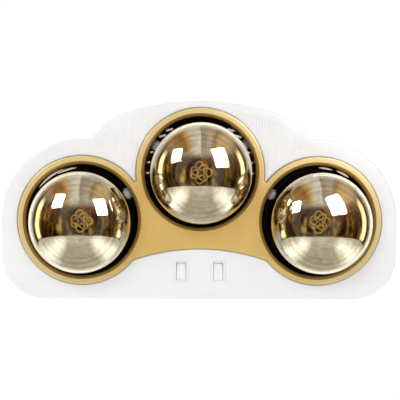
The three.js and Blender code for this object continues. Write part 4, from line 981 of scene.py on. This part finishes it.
def louvre_tree():
    """Geometry nodes: level blades set round a cup's wall at an even angular pitch."""
    lengths = [*LOUVRE_SIZES, "First Angle", "Pitch", "Length", "Spoke", "Lamp X", "Lamp Z"]
    tree, given = new_rule("louvre_blades", lengths, ["Count"])
    size = add_node(tree, "ShaderNodeCombineXYZ", {
        "X": given["Length"], "Y": given["Depth"], "Z": given["Height"],
    })
    blade = add_node(tree, "GeometryNodeMeshCube", {"Size": size})
    row = add_node(tree, "GeometryNodeMeshLine", {"Count": given["Count"], "Offset": (0.0, 0.0, 0.0)})
    steps = add_node(tree, "ShaderNodeMath", {
        0: add_node(tree, "GeometryNodeInputIndex"), 1: given["Pitch"], 2: given["First Angle"],
    }, operation="MULTIPLY_ADD")
    turn = add_node(tree, "ShaderNodeMath", {0: steps}, operation="RADIANS")
    along, up = [add_node(tree, "ShaderNodeMath", {0: turn}, operation=wave) for wave in ("COSINE", "SINE")]
    x, z = [add_node(tree, "ShaderNodeMath", {
        0: share, 1: given["Spoke"], 2: given[axis],
    }, operation="MULTIPLY_ADD") for share, axis in ((along, "Lamp X"), (up, "Lamp Z"))]
    y = add_node(tree, "ShaderNodeMath", {0: given["Middle"], 1: -1.0}, operation="MULTIPLY")
    place = add_node(tree, "ShaderNodeCombineXYZ", {"X": x, "Y": y, "Z": z})
    spread = add_node(tree, "GeometryNodeSetPosition", {"Geometry": row, "Position": place})
    droop = add_node(tree, "ShaderNodeMath", {0: given["Droop"]}, operation="RADIANS")
    tilt = add_node(tree, "ShaderNodeCombineXYZ", {"Y": droop})
    blades = add_node(tree, "GeometryNodeInstanceOnPoints", {
        "Points": spread, "Instance": blade, "Rotation": tilt,
    })
    return end_rule(tree, blades, given["Material"])


def add_sector(bm, x, z, start, end, section_at):
    """A curved bar round a lamp's axis between two angles.

    section_at gives the radii and depths of its corners at each share of the way.
    """
    rows = []
    for step in range(SECTOR_STEPS + 1):
        share = step / SECTOR_STEPS
        angle = math.radians(start + (end - start) * share)
        corners = section_at(share)
        rows.append([bm.verts.new(about_axis(x, z, radius, angle, depth)) for radius, depth in corners])
    skin(bm, rows)


def add_carrier(bm, x, z, start, end, inner, front):
    """A black strip that stands on a cup's wall and carries louvre blades or a white reflection arc."""
    back = front - CARRIER_THICKNESS
    outer = cup_wall_radius(back) + CUP_WALL / 2
    section = ((inner, front), (outer, front), (outer, back), (inner, back))
    add_sector(bm, x, z, start, end, lambda share: section)


def add_reflection_arc(bm, x, z, radius, front, start, end):
    """A long white bar that follows the wall of a side cup, slimming to its ends: a painted reflection of a
    softbox in the black cup.
    """
    back = front - CURVED_BLADE_DEPTH

    def section(share):
        slimming = max(math.sin(math.pi * share), BLADE_TIP_SHARE) ** BLADE_TAPER
        half = CURVED_BLADE_WIDTH / 2 * slimming
        return (radius - half, front), (radius + half, front), (radius + half, back), (radius - half, back)

    add_sector(bm, x, z, start, end, section)


def add_bushing(bm, x, z, angle):
    """A smooth ceramic bushing on the cup's wall, round the port that the lead passes."""
    made = bmesh.ops.create_icosphere(bm, subdivisions=BUSHING_ROUNDING, radius=1)
    bmesh.ops.scale(bm, verts=made["verts"], vec=BUSHING_SIZE)
    spoke = cup_wall_radius(PORT_DEPTH) - BUSHING_SIZE[0] / 2
    place = on_spoke(x, z, angle, PORT_DEPTH) @ Matrix.Translation((spoke, 0, 0))
    bmesh.ops.transform(bm, matrix=place, verts=made["verts"])


def build_cup(side):
    """Black cup round a bulb with its bushings: the centre cup has louvre slots and blades, the side cups
    white arcs of painted reflection.
    """
    x, z = LAMP_AXES[side]
    blank = turned(cup_profile(), x, z)
    if side == "centre":
        middle = (SLOT_COUNT - 1) / 2
        right = [SLOT_MIDDLE_ANGLE + (index - middle) * SLOT_PITCH for index in range(SLOT_COUNT)]
        bm = carved(blank, *[
            block((CUP_FLOOR_RADIUS, SLOT_BACK, -SLOT_WIDTH / 2),
                  (CUP_FLANGE_RADIUS + OVERRUN, SLOT_FRONT, SLOT_WIDTH / 2), on_spoke(x, z, angle))
            for angle in right + [180 - angle for angle in right]
        ])
        seat = LOUVRE_MIDDLE - LOUVRE_SIZES["Depth"] / 2 + CARRIER_THICKNESS / 2
        for start, end in CARRIER_ANGLES:
            add_carrier(bm, x, z, start, end, CARRIER_RADIUS, seat)
        white_from = len(bm.faces)
        tree = louvre_tree()
        for row in LOUVRE_ROWS:
            sizes = {**LOUVRE_SIZES, **row, "Lamp X": x, "Lamp Z": z}
            add_with_mirror(bm, grown(tree, sizes, BLADE_AND_REFLECTION_FINISH), x)
    else:
        bm = carved(blank)
        for radius, front, start, end in REFLECTION_ARCS[side]:
            seat = front - CURVED_BLADE_DEPTH + CARRIER_THICKNESS / 2
            add_carrier(bm, x, z, start, end, radius - CURVED_BLADE_GRIP, seat)
        white_from = len(bm.faces)
        for radius, front, start, end in REFLECTION_ARCS[side]:
            add_reflection_arc(bm, x, z, radius, front, start, end)
    bushings_from = len(bm.faces)
    for angle in PORT_ANGLES[side]:
        add_bushing(bm, x, z, angle)
    # Blades and arcs take the white; on the side cups it is painted reflection.
    for at, face in enumerate(bm.faces):
        face.material_index = (at >= white_from) + (at >= bushings_from)
    cup = finished(f"cup_{side}", bm, [CUP_FINISH, BLADE_AND_REFLECTION_FINISH, BUSHING_FINISH])
    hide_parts(f"lamp_cup_{side}")


# Bulbs

BULB_DOME_HEIGHT = 50
BULB_EQUATOR = BULB_APEX - BULB_DOME_HEIGHT
BULB_NECK_RADIUS = 17
BULB_NECK_EASE = 0.4
BULB_ROOT_RADIUS = 11.2
BULB_CAP_END = BULB_ROOT + 19
BULB_NECK_RISE = 7
BULB_FLARE_START = BULB_CAP_END + 14
BULB_WALL = 1
BULB_LATHE_STEPS = 160
FLARE_HELD_AT_NECK = 0.16
FLARE_HELD_AT_EQUATOR = 0.62
FLARE_STEPS = 40
DOME_STEPS = 32
SILVER_LINE = BULB_EQUATOR - 4
CLOUD_LINE = 77
NECK_LINE = 56

FILAMENT_DEPTH = 111.4
FILAMENT_RADIUS = 7.6
FILAMENT_WAVE = 4
FILAMENT_LOBES = 7
FILAMENT_ROUNDS = 3
FILAMENT_SWAY = 1.4
FILAMENT_SWAY_LOBES = 5
FILAMENT_SWING = 3
COIL_RADIUS = 0.8
COIL_TURNS = 180
COIL_STEPS = 9
COIL_WIRE = 0.5
COIL_WIRE_SIDES = 5


def bulb_profile(inset):
    """The glass from its root to its apex, as (radius, depth) points."""
    root = BULB_ROOT_RADIUS - inset
    neck = BULB_NECK_RADIUS - inset
    widest = BULB_RADIUS - inset
    length = BULB_EQUATOR - BULB_FLARE_START
    points = [
        (root, BULB_ROOT), (root, BULB_CAP_END),
        ((BULB_ROOT_RADIUS + BULB_NECK_RADIUS) / 2 - inset, BULB_CAP_END + BULB_NECK_RISE / 2),
        (neck - BULB_NECK_EASE, BULB_CAP_END + BULB_NECK_RISE),
    ]
    held = [
        Vector((neck, BULB_FLARE_START)),
        Vector((neck, BULB_FLARE_START + FLARE_HELD_AT_NECK * length)),
        Vector((widest, BULB_EQUATOR - FLARE_HELD_AT_EQUATOR * length)),
        Vector((widest, BULB_EQUATOR)),
    ]
    for step in range(FLARE_STEPS + 1):
        t = step / FLARE_STEPS
        shares = ((1 - t) ** 3, 3 * t * (1 - t) ** 2, 3 * t ** 2 * (1 - t), t ** 3)
        points.append(tuple(sum((share * point for share, point in zip(shares, held)), Vector((0, 0)))))
    for step in range(1, DOME_STEPS + 1):
        angle = QUARTER_TURN * step / DOME_STEPS
        radius = widest * math.cos(angle) if step < DOME_STEPS else 0
        points.append((radius, BULB_EQUATOR + (BULB_DOME_HEIGHT - inset) * math.sin(angle)))
    return points


def build_bulb(side):
    """Bulb glass: a silvered flare behind, an amber lustre dome in front."""
    x, z = LAMP_AXES[side]
    outer = bulb_profile(0)
    profile = outer + bulb_profile(BULB_WALL)[::-1] + [outer[0]]
    slots = [
        sum(max(here, there) <= line for line in (SILVER_LINE, CLOUD_LINE, NECK_LINE))
        for (_, here), (_, there) in zip(profile, profile[1:])
    ]
    bm = bmesh.new()
    lathe(bm, profile, x, z, BULB_LATHE_STEPS, slots)
    bulb = finished(
        f"bulb_{side}", bm, [LUSTRE_FINISH, SILVER_FINISH, CLOUD_FINISH, NECK_FINISH], sharp=60)
    away = bulb.data.attributes.new(AXIS_DISTANCE, "FLOAT", "POINT")
    for vertex, value in zip(bulb.data.vertices, away.data):
        value.value = math.hypot(vertex.co.x - x * MM, vertex.co.z - z * MM)
    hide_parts(f"bulb_glass_{side}")


def coil_line(x, z):
    """Points of a coil wound along a rosette that goes three times round, its turns apart."""
    count = COIL_TURNS * COIL_STEPS
    for step in range(count):
        turn = FILAMENT_ROUNDS * FULL_TURN * step / count
        wound = FULL_TURN * step / COIL_STEPS
        lobe = FILAMENT_LOBES * turn / FILAMENT_ROUNDS
        sway = FILAMENT_SWAY * math.cos(FILAMENT_SWAY_LOBES * turn / FILAMENT_ROUNDS)
        radius = FILAMENT_RADIUS + FILAMENT_WAVE * math.cos(lobe) + sway + COIL_RADIUS * math.cos(wound)
        depth = FILAMENT_DEPTH + FILAMENT_SWING * math.sin(lobe) + COIL_RADIUS * math.sin(wound)
        yield Vector(about_axis(x, z, radius, turn, depth))


def build_filament(side):
    """Coiled filament: one closed length of wire."""
    points = list(coil_line(*LAMP_AXES[side]))
    bm = bmesh.new()
    rows = []
    for at, point in enumerate(points):
        way = (points[(at + 1) % len(points)] - points[at - 1]).normalized()
        side_way = way.cross(Vector((0, 1, 0))).normalized()
        third = way.cross(side_way)
        angles = [FULL_TURN * corner / COIL_WIRE_SIDES for corner in range(COIL_WIRE_SIDES)]
        rows.append([
            bm.verts.new(point + COIL_WIRE * (side_way * math.cos(angle) + third * math.sin(angle)))
            for angle in angles
        ])
    for first, second in zip(rows, rows[1:] + rows[:1]):
        bridge(bm, first, second)
    filament = finished(f"coil_{side}", bm, [TUNGSTEN_FINISH], sharp=80)
    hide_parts(f"filament_{side}")


build_cover()
build_bezel()
for switch_side in ("left", "right"):
    build_switch_body(switch_side)
    build_rocker(switch_side)
for lamp_side in SIDES:
    build_cup(lamp_side)
    build_bulb(lamp_side)
    build_filament(lamp_side)


# Finishes of the solids, by the start of their names

NODE_FINISHES = (
    (COVER_FINISH, ("front_cover", "switch_body")),
    (BEZEL_FINISH, ("gold_bezel",)),
    (CUP_FINISH, ("lamp_cup",)),
    (SWITCH_FINISH, ("rocker",)),
    (LUSTRE_FINISH, ("bulb_glass",)),
    (STEM_FINISH, ("bulb_stem",)),
    (TUNGSTEN_FINISH, ("filament",)),
    (PORCELAIN_FINISH, ("lampholder", "terminal_block")),
    (BRASS_FINISH, ("holder_shell", "centre_contact", "switch_blade", "earth_screw")),
    (ZINC_FINISH, ("bulb_cap", "holder_bracket", "cord_clamp", "cover_screw", "bezel_screw")),
    (RUBBER_FINISH, ("cable_grommet",)),
    (SHEATH_FINISH, ("lead",)),
    (PAN_FINISH, ("rear_housing",)),
)

for node_name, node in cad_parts.items():
    node_finish = next(made for made, starts in NODE_FINISHES if node_name.startswith(starts))
    node.data.materials.clear()
    node.data.materials.append(node_finish)


# Floor, light and camera. The floor is in millimetres like the tables above, places and sizes of
# the lights and the camera's places are in metres, angles in degrees.

CAMERA_PLACE = (-0.035, -1.68, 0.07)
CAMERA_AIM = (0, -0.0825, 0)
CAMERA_ROLL = 0.35
CAMERA_LENS = 123.5
CAMERA_FILM = 36
FLOOR_RADIUS = 4000
FLOOR_LEVEL = -1800
FLOOR_STEPS = 96
LAMP_AIM = (0, -0.09, 0.02)
# Name, place, what it is aimed at, roll, size, power, and whether only shiny surfaces get it.
# The others light matt surfaces only.
LIGHTS = (
    ("softbox_left", (-0.551, -0.45, 0.426), LAMP_AIM, 17, (0.26, 0.33), 3.6, True),
    ("softbox_right", (0.363, -0.519, 0.334), LAMP_AIM, 0, (0.3, 0.41), 5.2, True),
    ("front_fill", (-0.1, -2.2, 0.1), (0, 0, 0), 0, (2, 1.4), 21.5, False),
    ("high_fill", (-0.7, -3.0, 1.2), (0, 0, 0), 0, (0.6, 0.4), 12, False),
)

# The room that shiny surfaces mirror, from the ground up
PLAIN_BANDS = (
    (0.0, "#BDB9AC"), (0.2, "#D2CDBE"), (0.285, "#DEDACC"), (0.295, "#120903"), (0.45, "#21130A"),
    (0.6, "#3E2620"), (0.74, "#57463E"), (0.82, "#ADA498"), (0.93, "#CFC9BF"), (1.0, "#D6D1C8"),
)
GOLDEN_BANDS = (
    (0.0, "#BDB9AC"), (0.285, "#DEDACC"), (0.295, "#9A6826"), (0.42, "#FFD068"), (0.56, "#F0B850"),
    (0.66, "#B0762C"), (0.82, "#9A6A34"), (0.93, "#B99060"), (1.0, "#C8BBA4"),
)
# Its ceiling, from left to right
CEILING_BANDS = (
    (0.0, "#C9A05E"), (0.26, "#9A7246"), (0.34, "#E0BC80"), (0.37, "#D8D4CC"), (0.49, "#ECE8E0"),
    (0.505, "#A89C92"), (0.62, "#C4BAAE"), (0.68, "#A88A66"), (0.76, "#DCC094"), (1.0, "#C8A878"),
)
# A bright strip on both side walls, from front to back and from the ground up
STRIP_ACROSS = ((0.51, "#000000"), (0.55, "#FFFFFF"), (0.64, "#FFFFFF"), (0.67, "#000000"))
STRIP_UPWARDS = ((0.29, "#000000"), (0.33, "#FFFFFF"), (0.68, "#FFFFFF"), (0.78, "#000000"))
STRIP_GLOW = (2.6, 2.1, 1.1, 1.0)
POOL_GLOW = (2.1, 2.1, 2.0, 1.0)
POOL_PLACE = (0.62, 0.0, -0.68)
BACK_GLOW = (1.0, 0.97, 0.9, 1.0)
SOFT_GREY = (0.45, 0.45, 0.45, 1.0)
WHITE = (1.0, 1.0, 1.0, 1.0)


def aimed(place, aim, roll):
    """A matrix at one place that looks at another, rolled by an angle."""
    look = (Vector(aim) - Vector(place)).to_track_quat("-Z", "Y").to_matrix().to_4x4()
    return Matrix.Translation(place) @ look @ Matrix.Rotation(math.radians(roll), 4, "Z")


def add_camera():
    data = bpy.data.cameras.new("camera")
    data.sensor_width = CAMERA_FILM
    data.lens = CAMERA_LENS
    camera = add_object("camera", data)
    camera.matrix_world = aimed(CAMERA_PLACE, CAMERA_AIM, CAMERA_ROLL)
    bpy.context.scene.camera = camera


def add_floor():
    """A wide matt white floor well under the lamp, kept out of what the bulbs mirror."""
    material = one_pattern(
        "matt_white_floor", (30, 30, 30), 3.0, ((0.3, "#F4F4F3"), (0.7, "#F8F8F7")), (0.7, 0.85), 0)
    bm = bmesh.new()
    bmesh.ops.create_circle(bm, cap_ends=True, radius=FLOOR_RADIUS, segments=FLOOR_STEPS)
    bmesh.ops.translate(bm, verts=bm.verts, vec=(0, 0, FLOOR_LEVEL))
    floor = finished("floor", bm, [material], body=None)
    floor.visible_glossy = False


def add_area_light(name, place, aim, roll, size, power, mirrored_only):
    data = bpy.data.lights.new(name, "AREA")
    data.shape = "RECTANGLE"
    data.size, data.size_y = size
    data.energy = power
    light = add_object(name, data)
    light.matrix_world = aimed(place, aim, roll)
    light.visible_camera = False
    light.visible_glossy = mirrored_only
    light.visible_diffuse = not mirrored_only


def add_world():
    """White to the eye, an even grey to matt surfaces, and a warm room to shiny ones."""
    world = bpy.data.worlds.new("studio")
    bpy.context.scene.world = world
    world.use_nodes = True
    tree = world.node_tree
    tree.nodes.clear()
    way = add_node(tree, "ShaderNodeTexCoord").outputs["Generated"]
    parts = add_node(tree, "ShaderNodeSeparateXYZ", {"Vector": way}).outputs
    sideways, backwards, height = [
        add_node(tree, "ShaderNodeMapRange", {"Value": part, "From Min": -1.0, "From Max": 1.0})
        for part in parts
    ]
    plain, golden, ceiling, strip_across, strip_upwards = [
        set_stops(add_node(tree, "ShaderNodeValToRGB", {"Fac": amount}), stops)
        for amount, stops in (
            (height, PLAIN_BANDS), (height, GOLDEN_BANDS), (sideways, CEILING_BANDS),
            (backwards, STRIP_ACROSS), (height, STRIP_UPWARDS),
        )
    ]
    stretched = add_node(tree, "ShaderNodeMapping", {
        "Vector": way, "Location": (0.3, 0.0, 0.0), "Scale": (5.0, 3.0, 0.9),
    })
    blocks = add_node(tree, "ShaderNodeTexNoise", {
        "Vector": stretched, "Scale": 1.0, "Detail": 4.0, "Roughness": 0.7,
    })
    streaks = add_node(tree, "ShaderNodeMapRange", {"Value": blocks, "From Min": 0.53, "From Max": 0.72})
    overhead = add_node(tree, "ShaderNodeMapRange", {"Value": height, "From Min": 0.78, "From Max": 0.86})
    across = add_node(tree, "ShaderNodeMath", {0: parts["X"]}, operation="ABSOLUTE")
    lobe = add_node(tree, "ShaderNodeCombineXYZ", {"X": across, "Z": parts["Z"]})
    away = add_node(tree, "ShaderNodeVectorMath", {0: lobe, 1: POOL_PLACE}, operation="DISTANCE")
    pool = add_node(tree, "ShaderNodeMapRange", {
        "Value": away, "From Min": 0.3, "From Max": 0.05, "To Max": 0.8,
    })
    strip = add_node(tree, "ShaderNodeMath", {0: strip_across, 1: strip_upwards}, operation="MULTIPLY")
    behind = add_node(tree, "ShaderNodeMapRange", {
        "Value": parts["Y"], "From Min": 0.45, "From Max": 0.75,
    })
    forwards = add_node(tree, "ShaderNodeMapRange", {
        "Value": parts["Y"], "From Min": 0.2, "From Max": -0.8,
    })
    skylight = add_node(tree, "ShaderNodeMapRange", {
        "Value": parts["Z"], "From Min": -1.0, "From Max": 1.0, "To Min": 0.45, "To Max": 1.0,
    })
    soft = add_node(tree, "ShaderNodeMix", {
        "Factor": forwards, "A": skylight, "B": SOFT_GREY,
    }, data_type="RGBA")
    ray = add_node(tree, "ShaderNodeLightPath").outputs
    shown = plain
    for amount, colour in (
        (streaks, golden), (overhead, ceiling), (pool, POOL_GLOW), (strip, STRIP_GLOW),
        (behind, BACK_GLOW), (ray["Is Diffuse Ray"], soft), (ray["Is Camera Ray"], WHITE),
    ):
        shown = add_node(tree, "ShaderNodeMix", {"Factor": amount, "A": shown, "B": colour}, data_type="RGBA")
    power = add_node(tree, "ShaderNodeMapRange", {
        "Value": ray["Is Glossy Ray"], "To Min": 1.0, "To Max": 1.6,
    })
    light = add_node(tree, "ShaderNodeBackground", {"Color": shown, "Strength": power})
    add_node(tree, "ShaderNodeOutputWorld", {"Surface": light})


add_camera()
add_floor()
add_world()
for lamp in LIGHTS:
    add_area_light(*lamp)
bpy.context.scene.view_settings.view_transform = "Standard"
